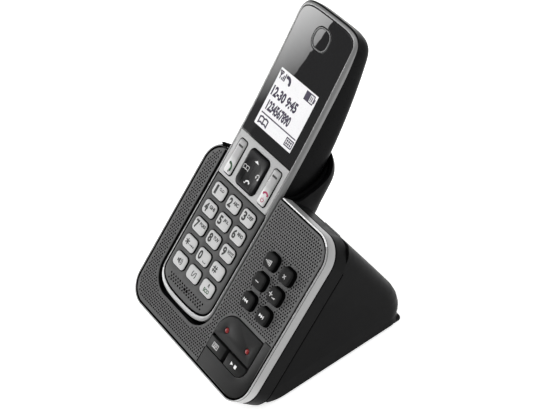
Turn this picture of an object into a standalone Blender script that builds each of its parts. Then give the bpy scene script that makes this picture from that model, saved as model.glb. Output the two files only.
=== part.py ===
"""Cordless telephone: a handset lying in the sloping cradle of its answering base.

Frames. The face of the base is a flat panel leaning back. Most pieces are built
in the panel's own frame, in millimetres: x to the right, u up along the panel,
n straight out of it, with the origin on the middle key of the keypad. The stand
behind the panel is built in a level frame: x to the right, y backwards, z up
from the underside of the stand.
"""

import math

import bmesh
import bpy
from mathutils import Matrix

MM = 0.001
GAP = 0.3

# The panel's lean and where its origin lies in the level frame (mm).
LEAN = math.radians(41.13)
PANEL_Y = 27.73
PANEL_Z = 50.55
FOOT = 1.6
CENTRE_X = 16.8
CENTRE_Y = 47.75

# The base's face and its layers.
BASE_X0, BASE_X1 = -35.1, 68.7
BASE_U0, BASE_U1 = -62.1, 28.9
BASE_R = 12.5
BAND_LOW = -6.0
DECK_TOP = -6.3
DECK_LOW = -8.3
FLANGE_LOW = -13.3
PLATE_TOP = -0.1
PLATE_LOW = -1.6
RECESS_HALF = 24.4
RECESS_END = -49.0

# The stand behind the panel: height, and how far back its rear wall is there.
STAND_X0, STAND_X1 = -33.9, 67.5
STAND_REAR = (
    (0.0, 76.0),
    (3.3, 76.0),
    (5.2, 77.2),
    (8.1, 77.9),
    (13.4, 77.8),
    (18.8, 76.4),
    (34.5, 69.9),
    (53.9, 61.7),
    (58.6, 59.5),
)
STAND_WALL = 2.0
STAND_EDGE = 8.0

# The handset.
HAND_HALF = 23.2
HAND_BOTTOM = (-33.6, 14.0, 3.0)
HAND_TOP = (99.0, 14.2, 4.5)
HAND_WALL = 1.6
RIM_LOW = 4.2

# Keys.
KEY_PITCH_X = 12.744
KEY_PITCH_U = 9.956
KEY_W, KEY_H, KEY_R = 10.2, 7.4, 2.2
KEY_NAMES = (
    ("key_1", "key_2", "key_3"),
    ("key_4", "key_5", "key_6"),
    ("key_7", "key_8", "key_9"),
    ("key_star", "key_0", "key_hash"),
    ("key_speaker", "key_clear", "key_eco"),
)
LONG_X, LONG_U, LONG_W, LONG_H = 15.0, 28.35, 5.9, 18.5
PAD_U, PAD_W, PAD_H = 28.5, 15.8, 18.4

# Buttons of the base.
BASE_BUTTONS = (
    ("locator_button", 40.6, 3.2),
    ("erase_button", 53.65, 3.2),
    ("volume_down_button", 40.6, -7.7),
    ("volume_up_button", 53.65, -7.7),
    ("skip_back_button", 40.6, -18.7),
    ("skip_forward_button", 53.65, -18.7),
)
BUTTON_W, BUTTON_H, BUTTON_R = 8.6, 7.8, 3.0

# The tower that backs the handset, and the swept lip of its mouth.
TOWER_HALF = 27.3
TOWER_TOP = (42.0, 16.6, 2.6)
TOWER_BACK = -25.3
TOWER_RISE = 0.06

# Colour, roughness and metallic value of each finish.
FINISHES = {
    "black": ((0.012, 0.012, 0.013, 1), 0.45, 0.0),
    "grille": ((0.16, 0.16, 0.165, 1), 0.5, 0.0),
    "fascia": ((0.13, 0.13, 0.135, 1), 0.45, 0.0),
    "dark": ((0.05, 0.05, 0.053, 1), 0.4, 0.0),
    "silver": ((0.55, 0.55, 0.56, 1), 0.32, 0.8),
    "key": ((0.6, 0.6, 0.6, 1), 0.5, 0.0),
    "gloss": ((0.01, 0.01, 0.011, 1), 0.06, 0.0),
    "rubber": ((0.02, 0.02, 0.02, 1), 0.8, 0.0),
    "board": ((0.02, 0.14, 0.06, 1), 0.5, 0.0),
    "metal": ((0.7, 0.68, 0.62, 1), 0.3, 1.0),
    "gold": ((0.8, 0.6, 0.25, 1), 0.3, 1.0),
    "red": ((0.5, 0.01, 0.01, 1), 0.2, 0.0),
    "screen": ((0.85, 0.86, 0.88, 1), 0.3, 0.0),
    "cell": ((0.1, 0.25, 0.12, 1), 0.4, 0.0),
    "grey_part": ((0.3, 0.3, 0.3, 1), 0.6, 0.0),
}


def clear_scene():
    for obj in list(bpy.data.objects):
        bpy.data.objects.remove(obj, do_unlink=True)


clear_scene()
PARTS = bpy.data.collections.new("cordless_telephone")
CUTTERS = bpy.data.collections.new("cutters")
bpy.context.scene.collection.children.link(PARTS)
bpy.context.scene.collection.children.link(CUTTERS)

# The level frame of the stand, and the leaning frame of the panel.
stand = bpy.data.objects.new("stand_frame", None)
stand.location = (-CENTRE_X * MM, -CENTRE_Y * MM, FOOT * MM)
PARTS.objects.link(stand)
panel = bpy.data.objects.new("panel_frame", None)
panel.location = (
    -CENTRE_X * MM,
    (PANEL_Y - CENTRE_Y) * MM,
    (PANEL_Z + FOOT) * MM,
)
panel.rotation_euler = (LEAN, 0, 0)
PARTS.objects.link(panel)

# Turns of a flat outline, which is drawn in its own x and y and grows along z.
FLAT = Matrix.Identity(3)
SIDEWAYS = Matrix(((0, 0, 1), (1, 0, 0), (0, 1, 0)))


# ---------------------------------------------------------------- tools


def finish_material(name, finish):
    colour, rough, metal = FINISHES[finish]
    material = bpy.data.materials.new(name + "_" + finish)
    material.use_nodes = True
    shader = material.node_tree.nodes["Principled BSDF"]
    shader.inputs["Base Color"].default_value = colour
    shader.inputs["Roughness"].default_value = rough
    shader.inputs["Metallic"].default_value = metal
    material.diffuse_color = colour
    return material


def to_object(name, bm, finish=None, frame=None, at=(0, 0, 0), sharp=35):
    """The bmesh, in millimetres around `at`, as an object in `frame`. No finish: a cutter."""
    bmesh.ops.recalc_face_normals(bm, faces=bm.faces)
    bmesh.ops.translate(bm, verts=bm.verts, vec=[-c for c in at])
    bmesh.ops.scale(bm, verts=bm.verts, vec=(MM, MM, MM))
    mesh = bpy.data.meshes.new(name)
    bm.to_mesh(mesh)
    bm.free()
    return place(name, mesh, finish, frame, at, sharp)


def place(name, mesh, finish, frame, at, sharp=35):
    obj = bpy.data.objects.new(name, mesh)
    obj.parent = frame or panel
    obj.location = [c * MM for c in at]
    if finish:
        PARTS.objects.link(obj)
        if not mesh.materials:
            mesh.materials.append(finish_material(name, finish))
            mesh.shade_smooth()
            mesh.set_sharp_from_angle(angle=math.radians(sharp))
        else:
            # A copy that shares its mesh still has a material of its own.
            obj.material_slots[0].link = "OBJECT"
            obj.material_slots[0].material = finish_material(name, finish)
    else:
        CUTTERS.objects.link(obj)
        obj.hide_render = True
        obj.display_type = "WIRE"
    return obj


def outline_mesh(loops, low, high, turn=FLAT, shift=(0, 0, 0)):
    """A flat outline with its holes, as a filled curve that is extruded from low to high."""
    curve = bpy.data.curves.new("outline", "CURVE")
    curve.dimensions = "2D"
    curve.fill_mode = "BOTH"
    curve.extrude = (high - low) / 2
    for loop in loops:
        spline = curve.splines.new("POLY")
        spline.points.add(len(loop) - 1)
        for point, (a, b) in zip(spline.points, loop):
            point.co = (a, b, 0, 1)
        spline.use_cyclic_u = True
    guide = bpy.data.objects.new("outline", curve)
    bpy.context.scene.collection.objects.link(guide)
    bpy.context.view_layer.update()
    evaluated = guide.evaluated_get(bpy.context.evaluated_depsgraph_get())
    mesh = bpy.data.meshes.new_from_object(evaluated)
    bpy.data.objects.remove(guide, do_unlink=True)
    bpy.data.curves.remove(curve)
    bm = bmesh.new()
    bm.from_mesh(mesh)
    bpy.data.meshes.remove(mesh)
    bmesh.ops.remove_doubles(bm, verts=bm.verts, dist=0.0005)
    bmesh.ops.translate(bm, verts=bm.verts, vec=(0, 0, (high + low) / 2))
    bmesh.ops.transform(bm, verts=bm.verts, matrix=turn.to_4x4())
    bmesh.ops.translate(bm, verts=bm.verts, vec=shift)
    return bm


def plate(name, loops, low, high, finish=None, frame=None, turn=FLAT, at=(0, 0, 0)):
    return to_object(name, outline_mesh(loops, low, high, turn), finish, frame, at)


def add_box(bm, x0, x1, y0, y1, z0, z1):
    size = Matrix.Diagonal((x1 - x0, y1 - y0, z1 - z0, 1))
    middle = Matrix.Translation(((x0 + x1) / 2, (y0 + y1) / 2, (z0 + z1) / 2))
    bmesh.ops.create_cube(bm, size=1, matrix=middle @ size)


def box(name, x0, x1, y0, y1, z0, z1, finish=None, frame=None, at=(0, 0, 0)):
    bm = bmesh.new()
    add_box(bm, x0, x1, y0, y1, z0, z1)
    return to_object(name, bm, finish, frame, at)


def add_cylinder(bm, centre, radius, low, high, axis="z", sides=24, top=None):
    """A cylinder or a cone along an axis, between two places on it."""
    turn = {
        "z": Matrix.Identity(4),
        "y": Matrix.Rotation(-math.pi / 2, 4, "X"),
        "x": Matrix.Rotation(math.pi / 2, 4, "Y"),
    }[axis]
    middle = list(centre)
    middle["xyz".index(axis)] = (low + high) / 2
    bmesh.ops.create_cone(
        bm,
        cap_ends=True,
        segments=sides,
        radius1=radius,
        radius2=radius if top is None else top,
        depth=high - low,
        matrix=Matrix.Translation(middle) @ turn,
    )


def add_turned(bm, centre, profile, axis="z", sides=20):
    """A solid of revolution. The profile is (radius, place) pairs, from the axis back to it."""
    made = bmesh.new()
    points = [made.verts.new((radius, 0, place_)) for radius, place_ in profile]
    edges = [made.edges.new(pair) for pair in zip(points, points[1:])]
    bmesh.ops.spin(
        made,
        geom=points + edges,
        cent=(0, 0, 0),
        axis=(0, 0, 1),
        angle=2 * math.pi,
        steps=sides,
        use_merge=True,
    )
    bmesh.ops.remove_doubles(made, verts=made.verts, dist=0.0005)
    turn = {
        "z": Matrix.Identity(4),
        "y": Matrix.Rotation(-math.pi / 2, 4, "X"),
        "x": Matrix.Rotation(math.pi / 2, 4, "Y"),
    }[axis]
    bmesh.ops.transform(
        made, verts=made.verts, matrix=Matrix.Translation(centre) @ turn
    )
    mesh = bpy.data.meshes.new("turned")
    made.to_mesh(mesh)
    made.free()
    bm.from_mesh(mesh)
    bpy.data.meshes.remove(mesh)


def rings(loops, ladder=False):
    """A closed body through a stack of like loops. Its ends are flat faces, or ladders of
    quads where a loop runs up one side of a piece and down the other."""
    bm = bmesh.new()
    rows = [[bm.verts.new(point) for point in loop] for loop in loops]
    count = len(rows[0])
    for row, next_row in zip(rows, rows[1:]):
        for i in range(count):
            j = (i + 1) % count
            bm.faces.new((row[i], row[j], next_row[j], next_row[i]))
    for row in (rows[0], rows[-1]):
        if ladder:
            for i in range(count // 2 - 1):
                bm.faces.new((row[i], row[i + 1], row[-2 - i], row[-1 - i]))
        else:
            bm.faces.new(row)
    return bm


def tube_rings(loops):
    """A closed ring through a stack of loops whose last one joins the first."""
    bm = bmesh.new()
    rows = [[bm.verts.new(point) for point in loop] for loop in loops]
    count = len(rows[0])
    for row, next_row in zip(rows, rows[1:] + rows[:1]):
        for i in range(count):
            j = (i + 1) % count
            bm.faces.new((row[i], row[j], next_row[j], next_row[i]))
    return bm


def rounded(x0, x1, y0, y1, radius, steps=3):
    """A rectangle with round corners, anticlockwise. Radii: one, or bottom left round to top left."""
    radii = radius if isinstance(radius, tuple) else (radius,) * 4
    corners = ((x0, y0, 180), (x1, y0, 270), (x1, y1, 0), (x0, y1, 90))
    points = []
    for (x, y, start), r in zip(corners, radii):
        cx = x + r if x == x0 else x - r
        cy = y + r if y == y0 else y - r
        for k in range(steps + 1):
            angle = math.radians(start + 90 * k / steps)
            points.append((cx + r * math.cos(angle), cy + r * math.sin(angle)))
    return points


def base_outline(inset=0.0, steps=6):
    return rounded(
        BASE_X0 + inset,
        BASE_X1 - inset,
        BASE_U0 + inset,
        BASE_U1 - inset,
        BASE_R - inset,
        steps,
    )


def cap(name, x, u, w, h, r, low, edge, top, bevel, finish, at_n=0.0, steps=3):
    """A push button or key: straight sides up to `edge`, then a bevel up to `top`."""
    x0, x1, u0, u1 = x - w / 2, x + w / 2, u - h / 2, u + h / 2
    side = rounded(x0, x1, u0, u1, r, steps)
    crown = rounded(
        x0 + bevel, x1 - bevel, u0 + bevel, u1 - bevel, max(r - bevel, 0.3), steps
    )
    loops = [
        [(a, b, low) for a, b in side],
        [(a, b, edge) for a, b in side],
        [(a, b, top) for a, b in crown],
    ]
    return to_object(name, rings(loops), finish, panel, (x, u, at_n))


def modify(obj, other, operation):
    modifier = obj.modifiers.new(operation.lower() + "_" + other.name, "BOOLEAN")
    modifier.operation = operation
    modifier.object = other
    modifier.solver = "EXACT"
    return obj


def cut(obj, *others):
    for other in others:
        modify(obj, other, "DIFFERENCE")


def join(obj, *others):
    for other in others:
        modify(obj, other, "UNION")


def bevel(obj, width, segments=2, angle=50):
    modifier = obj.modifiers.new("bevel", "BEVEL")
    modifier.width = width * MM
    modifier.segments = segments
    modifier.limit_method = "ANGLE"
    modifier.angle_limit = math.radians(angle)
    return obj


# ---------------------------------------------------------------- shape of the handset


def face_n(s):
    """Height of the handset's face, which is flat and then curls forward to the earpiece."""
    return 5.5e-4 * max(0.0, s - 10.0) ** 2


def back_n(s):
    """Height of the handset's back, deepest behind the battery."""
    return -20.0 + 0.00199 * max(0.0, s - 25.0) ** 2 + 0.0034 * min(0.0, s) ** 2


def half_plan(half, low, high, rows=(-22, -10, 0, 10, 22, 34, 46, 58, 70, 82, 91)):
    """(half width, place along u) from bottom to top. An end is a place, for a straight cut,
    or (start, reach, power) for a rounded one."""
    points = []
    if isinstance(low, tuple):
        start, reach, power = low
        for k in range(7):
            angle = math.radians(84 * (1 - k / 6))
            points.append(
                (
                    half * math.cos(angle) ** (2 / power),
                    start - reach * math.sin(angle) ** (2 / power),
                )
            )
        bottom = start
    else:
        points.append((half, low))
        bottom = low
    top = high[0] if isinstance(high, tuple) else high
    points += [(half, s) for s in rows if bottom + 1.5 < s < top - 1.5]
    if isinstance(high, tuple):
        start, reach, power = high
        for k in range(8):
            angle = math.radians(84 * k / 7)
            points.append(
                (
                    half * math.cos(angle) ** (2 / power),
                    start + reach * math.sin(angle) ** (2 / power),
                )
            )
    else:
        points.append((half, high))
    return points


def full_loop(points, height):
    """The half plan and its mirror image as one loop, at a height that is a function of place."""
    right = [(w, s, height(w, s)) for w, s in points]
    return right + [(-w, s, h) for w, s, h in reversed(right)]


def hand_plan(side, bottom=None, top=None, low=None, high=None):
    """The handset's plan, moved in from its outline."""
    bottom = side if bottom is None else bottom
    top = side if top is None else top
    s0, reach, power = HAND_BOTTOM
    low = (s0, reach - bottom, power) if low is None else low
    s1, reach, power = HAND_TOP
    high = (s1, reach - top, power) if high is None else high
    return half_plan(HAND_HALF - side, low, high)


def below_face(depth):
    return lambda w, s: face_n(s) - depth


def above_back(height):
    return lambda w, s: back_n(s) + height


# ---------------------------------------------------------------- the base


def make_front_panel():
    """The perforated plate of the face, with the cradle's opening and the buttons' holes."""
    plate_obj = plate("front_panel", [base_outline(2.1)], PLATE_LOW, PLATE_TOP, "grille")
    mouth = rounded(-RECESS_HALF, RECESS_HALF, RECESS_END, 60, (12.6, 12.6, 1, 1), 6)
    holes = plate("cut_mouth", [mouth], -4, 3)
    buttons = bmesh.new()
    for _, x, u in BASE_BUTTONS:
        loop = rounded(
            x - BUTTON_W / 2 - 0.4,
            x + BUTTON_W / 2 + 0.4,
            u - BUTTON_H / 2 - 0.4,
            u + BUTTON_H / 2 + 0.4,
            BUTTON_R + 0.4,
        )
        merge(buttons, outline_mesh([loop], -4, 3))
    button_holes = to_object("cut_button_holes", buttons)
    cut(plate_obj, holes, button_holes, *make_lamp_well())


def make_lamp_well():
    """Cutters for the well of the lamp panel and the two lower buttons."""
    upper = rounded(30.0, 61.2, -51.0, -28.6, (0.5, 6.6, 0.5, 11.3), 5)
    return [plate("cut_lamp_well", [upper], -4, 3)]


def merge(bm, other):
    mesh = bpy.data.meshes.new("merged")
    other.to_mesh(mesh)
    other.free()
    bm.from_mesh(mesh)
    bpy.data.meshes.remove(mesh)


def make_trim_band():
    """The silver band round the face, open where the handset comes through."""
    levels = (
        (1.5, BAND_LOW),
        (0.0, BAND_LOW),
        (0.0, -0.8),
        (0.45, 0.0),
        (0.95, 0.25),
        (1.5, 0.1),
    )
    loops = [[(x, u, n) for x, u in base_outline(d)] for d, n in levels]
    band = to_object("trim_band", tube_rings(loops), "silver")
    cut(band, box("cut_band_opening", -28.6, 25.8, 0, 40, -20, 10))


def make_front_housing():
    """The black tray under the face: a deck and the flange round it."""
    housing = plate(
        "front_housing", [base_outline(0.0)], FLANGE_LOW, DECK_TOP, "black"
    )
    hollow = plate("cut_housing_hollow", [base_outline(2.2)], -20, DECK_LOW)
    cradle = rounded(-25.8, 25.8, -56.4, 60, (13, 13, 1, 1), 6)
    passage = plate("cut_housing_cradle", [cradle], -20, 3)
    sound = bmesh.new()
    add_cylinder(sound, (49, 16.2, 0), 8.4, -12, 0)
    cut(housing, hollow, passage, to_object("cut_sound_hole", sound))


def stand_loop(height, rear, inset, front):
    """A level section of the stand: its rear corners are round."""
    depth = rear - front
    r = max(0.2, min(STAND_EDGE - inset, depth * 0.45))
    corners = rounded(
        STAND_X0 + inset, STAND_X1 - inset, front, rear, (0.1, 0.1, r, r), 4
    )
    return [(x, y, height) for x, y in corners]


def seam_y(height, n=FLANGE_LOW - GAP):
    """Where the plane at `n` on the panel's axis lies, at this height in the level frame."""
    b = n - (-19.84)
    a = (height - math.cos(LEAN) * b) / math.sin(LEAN)
    return math.cos(LEAN) * a - math.sin(LEAN) * b


def tower_flare(s, n):
    """How far the tower's foot spreads where it meets the stand."""
    rise = min(1.0, max(0.0, (35.0 - s) / 6.0))
    depth = min(1.0, max(0.0, (-2.5 - n) / 9.0))
    behind = min(1.0, max(0.0, (n + 24.0) / 8.0))
    return 3.5 * rise * rise * depth * behind


def tower_rings(inset, levels, low):
    loops = []
    for move, n in levels:
        points = []
        start, reach, power = TOWER_TOP
        for w, s in half_plan(
            TOWER_HALF - inset - move,
            low,
            (start, reach - inset - move, power),
            rows=(16, 20, 24, 28, 31, 34, 37, 40),
        ):
            points.append((w + tower_flare(s, n), s))
        loops.append(
            full_loop(
                points,
                lambda w, s, n=n: n + (TOWER_RISE * max(0, s - 30) if n < -15 else 0),
            )
        )
    return rings(loops, ladder=True)


def lip_outline(drop, start, end, deep):
    """Side view of what is cut away in front of the mouth's swept lip."""
    points = [(29.2, 12.0), (29.2, -2.0 - drop)]
    for k in range(13):
        angle = math.radians(90 * k / 12)
        u = end - (end - start) * math.cos(angle) ** (2 / 1.8)
        n = -2.5 - drop - (deep - 2.5) * math.sin(angle) ** (2 / 1.8)
        points.append((u, n))
    points += [(80.0, -deep - drop), (80.0, 12.0)]
    return points


def make_stand():
    """The wedge behind the panel and the tower that backs the handset, as one moulding."""
    outer = [stand_loop(z, y, 0.0, seam_y(z)) for z, y in STAND_REAR]
    stand_obj = to_object("rear_housing", rings(outer), "black", stand)
    corners = rounded(STAND_X0, STAND_X1, -60.9, 45, (11.3, 11.3, 1, 1), 6)
    modify(stand_obj, plate("keep_stand_corners", [corners], -120, -13.6), "INTERSECT")
    tower = to_object(
        "add_tower",
        tower_rings(
            0.0,
            (
                (0, 0),
                (0, -8),
                (0, -14),
                (0, TOWER_BACK + 6.4),
                (0.6, TOWER_BACK + 3.6),
                (2.2, TOWER_BACK + 1.2),
                (5, TOWER_BACK),
            ),
            12,
        ),
    )
    join(stand_obj, tower)
    inner_rows = [(-6.0, 74.0)] + [
        (z, y - STAND_WALL) for z, y in STAND_REAR if 0 < z < 56
    ]
    inner_rows.append((57.0, 58.2))
    inner = [
        stand_loop(z, y, STAND_WALL, seam_y(z) - 8.0) for z, y in inner_rows
    ]
    hollow = to_object("cut_stand_hollow", rings(inner), None, stand)
    shaft = to_object(
        "cut_tower_hollow",
        tower_rings(
            1.6,
            (
                (0, 6),
                (0, -8),
                (0, -14),
                (0, TOWER_BACK + 7.2),
                (0.6, TOWER_BACK + 4.6),
                (2.0, TOWER_BACK + 2.4),
                (4.2, TOWER_BACK + 1.6),
            ),
            6,
        ),
    )
    cut(stand_obj, hollow, shaft)
    lip = plate(
        "cut_tower_lip",
        [lip_outline(1.6, 29.5, 58.0, 18.6)],
        -45,
        45,
        None,
        panel,
        SIDEWAYS,
    )
    front = box("cut_stand_front", -60, 90, -90, 29.0, -13.55, 30)
    cut(stand_obj, lip, front)
    bosses = bmesh.new()
    for x0, x1 in ((-33.0, -24.5), (58.1, 66.6)):
        add_box(bosses, x0, x1, 54.0, 62.0, 3.0, 13.0)
    join(stand_obj, to_object("add_bosses", bosses, None, stand))
    pilots = bmesh.new()
    for x, y in SCREWS:
        add_cylinder(pilots, (x, y, 0), 1.4, -2, 11.5, sides=12)
    jacks = bmesh.new()
    add_box(jacks, -17.2, -6.8, 60, 90, 5.2, 16.4)
    add_box(jacks, 3.8, 17.2, 60, 90, 5.2, 18.1)
    cut(
        stand_obj,
        to_object("cut_pilots", pilots, None, stand),
        to_object("cut_jack_windows", jacks, None, stand),
    )
    # EXACT leaves open edges where the shaft and the lip meet the thin wall.
    for modifier in stand_obj.modifiers:
        modifier.solver = "MANIFOLD"


SCREWS = ((-28.5, 58.0), (62.0, 58.0))


def make_bottom_cover():
    """The flat lid under the stand, with recesses for its screws' heads."""
    x0, x1 = STAND_X0 + STAND_WALL + GAP, STAND_X1 - STAND_WALL - GAP
    cover = plate(
        "bottom_cover",
        [rounded(x0, x1, -6.2, 73.6, (4, 4, 5.6, 5.6), 4)],
        0.3,
        2.3,
        "black",
        stand,
    )
    corners = rounded(x0, x1, -58.6, 60, (9, 9, 1, 1), 6)
    modify(cover, plate("keep_cover_corners", [corners], -130, 0), "INTERSECT")
    heads = bmesh.new()
    for x, y in SCREWS:
        add_turned(
            heads,
            (x, y, 0),
            ((0, -3), (3.0, -3), (3.0, 1.5), (1.4, 1.5), (1.4, 4), (0, 4)),
            sides=16,
        )
    cut(cover, to_object("cut_screw_heads", heads, None, stand))


def make_small_base_parts():
    for name, (x, y) in zip(("case_screw_left", "case_screw_right"), SCREWS):
        screw = bmesh.new()
        add_turned(
            screw,
            (x, y, 0),
            ((0, 0.4), (2.6, 0.4), (2.6, 1.2), (1.1, 1.2), (1.1, 10), (0, 10.8)),
            sides=12,
        )
        to_object(name, screw, "metal", stand, (x, y, 0))

    for name, x0, x1, y0, y1 in (
        ("rear_foot_strip", -32.7, 66.3, 69.4, 75.4),
        ("front_foot_strip", -24.0, 57.6, 1.0, 7.0),
    ):
        low = rounded(x0 + 0.5, x1 - 0.5, y0 + 0.5, y1 - 0.5, 1.5, 3)
        high = rounded(x0, x1, y0, y1, 2.0, 3)
        foot = rings(
            [
                [(a, b, -FOOT) for a, b in low],
                [(a, b, -FOOT + 0.5) for a, b in high],
                [(a, b, -0.3) for a, b in high],
            ]
        )
        to_object(name, foot, "rubber", stand)

    plate(
        "base_main_board",
        [rounded(-22, 54, 32, 72.5, 2, 2)],
        3.6,
        4.8,
        "board",
        stand,
    )
    box("line_jack", 4.1, 16.9, 61.0, 77.4, 5.5, 17.8, "grey_part", stand)
    well = bmesh.new()
    add_box(well, 5.6, 15.4, 66.0, 80, 7.6, 14.4)
    slot = bmesh.new()
    add_box(slot, 7.4, 13.6, 66.01, 80, 14.0, 16.2)
    cut(
        bpy.data.objects["line_jack"],
        to_object("cut_line_socket", well, None, stand),
        to_object("cut_line_latch", slot, None, stand),
    )

    box("power_jack", -16.9, -7.1, 64.0, 77.4, 5.5, 16.1, "black", stand)
    bore = bmesh.new()
    add_turned(
        bore,
        (-12, 68.0, 10.8),
        ((0.9, 0), (2.85, 0), (2.85, 15), (0.9, 15), (0.9, 0)),
        axis="y",
        sides=20,
    )
    tip = bmesh.new()
    add_cylinder(tip, (-12, 0, 10.8), 1.6, 76.4, 90, axis="y", sides=12)
    cut(
        bpy.data.objects["power_jack"],
        to_object("cut_power_bore", bore, None, stand),
        to_object("cut_power_tip", tip, None, stand),
    )

    # The switch mat under the buttons, and the loudspeaker behind the grille.
    sheet = rounded(29.0, 62.4, -52.4, 6.6, 1.5, 2)
    plate("base_button_mat", [sheet], -5.9, -3.6, "rubber")
    speaker = bmesh.new()
    add_turned(
        speaker,
        (49, 16.2, 0),
        (
            (0, -14.2),
            (4.5, -14.2),
            (4.5, -11.6),
            (9.3, -9.8),
            (9.3, -8.6),
            (7.6, -8.6),
            (2.5, -10.6),
            (0, -10.2),
        ),
        sides=24,
    )
    to_object("base_speaker", speaker, "grey_part")


def make_fascia_and_buttons():
    """The lamp panel with its light guide, and the eight push buttons."""
    lamp = plate(
        "lamp_panel",
        [rounded(30.4, 60.9, -42.9, -29.0, (0.6, 0.6, 0.6, 11.0), 6)],
        PLATE_LOW,
        0.25,
        "dark",
    )
    holes = bmesh.new()
    lenses = bmesh.new()
    guide = bmesh.new()
    add_box(guide, 36.0, 56.3, -38.6, -36.3, -3.2, -2.4)
    for x in (37.3, 55.0):
        add_cylinder(holes, (x, -37.45, 0), 1.5, -4, 3, sides=16)
        add_turned(
            lenses,
            (x, -37.45, 0),
            ((0, -2.8), (1.15, -2.8), (1.15, 0.2), (0.7, 0.5), (0, 0.6)),
            sides=16,
        )
    cut(lamp, to_object("cut_lamp_holes", holes))
    join(
        to_object("lamp_light_guide", guide, "red"),
        to_object("add_lamp_lenses", lenses),
    )

    for name, x, u in BASE_BUTTONS:
        cap(name, x, u, BUTTON_W, BUTTON_H, BUTTON_R, -2.5, 1.5, 2.4, 0.8, "rubber")
    cap("message_button", 37.0, -47.2, 12.8, 6.2, 0.6, -2.5, 0.1, 0.4, 0.3, "dark")
    x0, x1, u0, u1 = 45.9, 60.7, -50.5, -44.0
    side = rounded(x0, x1, u0, u1, (0.6, 5.6, 0.6, 0.6), 4)
    crown = rounded(
        x0 + 0.3, x1 - 0.3, u0 + 0.3, u1 - 0.3, (0.4, 5.3, 0.4, 0.4), 4
    )
    loops = [
        [(a, b, -2.5) for a, b in side],
        [(a, b, 0.2) for a, b in side],
        [(a, b, 0.5) for a, b in crown],
    ]
    to_object("play_stop_button", rings(loops), "dark", panel, (53.3, -47.2, 0))


def make_cradle():
    """The trough that the handset lies in, with the ledge that its foot stands on."""

    def floor_n(s):
        return (
            -20.5
            + 0.00199 * max(0.0, s - 25.0) ** 2
            + 0.0034 * min(0.0, s + 3.4) ** 2
        )

    def trough(move, top, deeper):
        start, reach, power = HAND_BOTTOM
        loops = []
        for inset, height in ((0, None), (0, 5.0), (0.7, 2.6), (2.1, 0.9), (4.6, 0.0)):
            points = half_plan(
                HAND_HALF + move - inset,
                (start, reach + 3.6 + move - inset, power),
                66.0 if top > 0 else (42.0, 12.7 + move - inset, 2.6),
                rows=(-22, -10, 0, 10, 20, 27, 31, 35, 39, 46, 52, 58),
            )
            if height is None:
                loops.append(full_loop(points, lambda w, s: top))
            else:
                loops.append(
                    full_loop(
                        points,
                        lambda w, s, h=height: min(
                            floor_n(s) - deeper + h, top - 0.5
                        ),
                    )
                )
        return rings(loops, ladder=True)

    liner = to_object("cradle_liner", trough(2.2, -1.9, 1.4), "black")
    ledge = plate(
        "add_ledge",
        [rounded(-19.0, 19.0, -51.8, -48.4, 0.3, 1)],
        -9.2,
        -2.2,
    )
    hollow = to_object("cut_cradle_hollow", trough(1.0, 4.0, 0.0))
    lip = plate(
        "cut_cradle_lip",
        [lip_outline(0.0, 29.5, 58.0, 18.6)],
        -45,
        45,
        None,
        panel,
        SIDEWAYS,
    )
    cut(liner, hollow)
    join(liner, ledge, box("add_cheek", -28.3, -24.6, 27.2, 28.7, -5.9, -0.2))
    cut(liner, lip)
    first = bmesh.new()
    second = bmesh.new()
    for x in (-8.0, 8.0):
        add_cylinder(first, (x, 0, -6.4), 1.5, -60, -45, axis="y", sides=16)
        add_cylinder(second, (x, 0, -6.4), 2.4, -60.01, -50.2, axis="y", sides=16)
    cut(
        liner,
        to_object("cut_pin_bores", first),
        to_object("cut_pin_wells", second),
    )
    for name, x in (("charge_pin_left", -8.0), ("charge_pin_right", 8.0)):
        pin = bmesh.new()
        add_turned(
            pin,
            (x, 0, -6.4),
            (
                (0, -54.6),
                (1.1, -54.6),
                (1.1, -51.4),
                (2.0, -51.4),
                (2.0, -50.6),
                (1.1, -50.6),
                (1.1, -48.4),
                (0.6, -48.0),
                (0, -48.0),
            ),
            axis="y",
            sides=16,
        )
        to_object(name, pin, "gold", panel, (x, -52, -6.4))


# ---------------------------------------------------------------- the handset


def skin(prefix):
    """The handset's outer solid and the hollow inside it."""
    outer = [
        full_loop(hand_plan(0.0), below_face(RIM_LOW + GAP)),
        full_loop(hand_plan(0.15), above_back(4.6)),
        full_loop(hand_plan(0.8), above_back(2.4)),
        full_loop(hand_plan(2.2), above_back(0.9)),
        full_loop(hand_plan(4.8), above_back(0.0)),
    ]
    t = HAND_WALL
    inner = [
        full_loop(hand_plan(t), below_face(2.0)),
        full_loop(hand_plan(t + 0.1), above_back(t + 3.4)),
        full_loop(hand_plan(t + 0.7), above_back(t + 1.7)),
        full_loop(hand_plan(t + 1.9), above_back(t + 0.5)),
        full_loop(hand_plan(t + 3.8), above_back(t)),
    ]
    solid = rings(outer, ladder=True)
    hollow = to_object("cut_" + prefix + "_hollow", rings(inner, ladder=True))
    return solid, hollow


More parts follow.
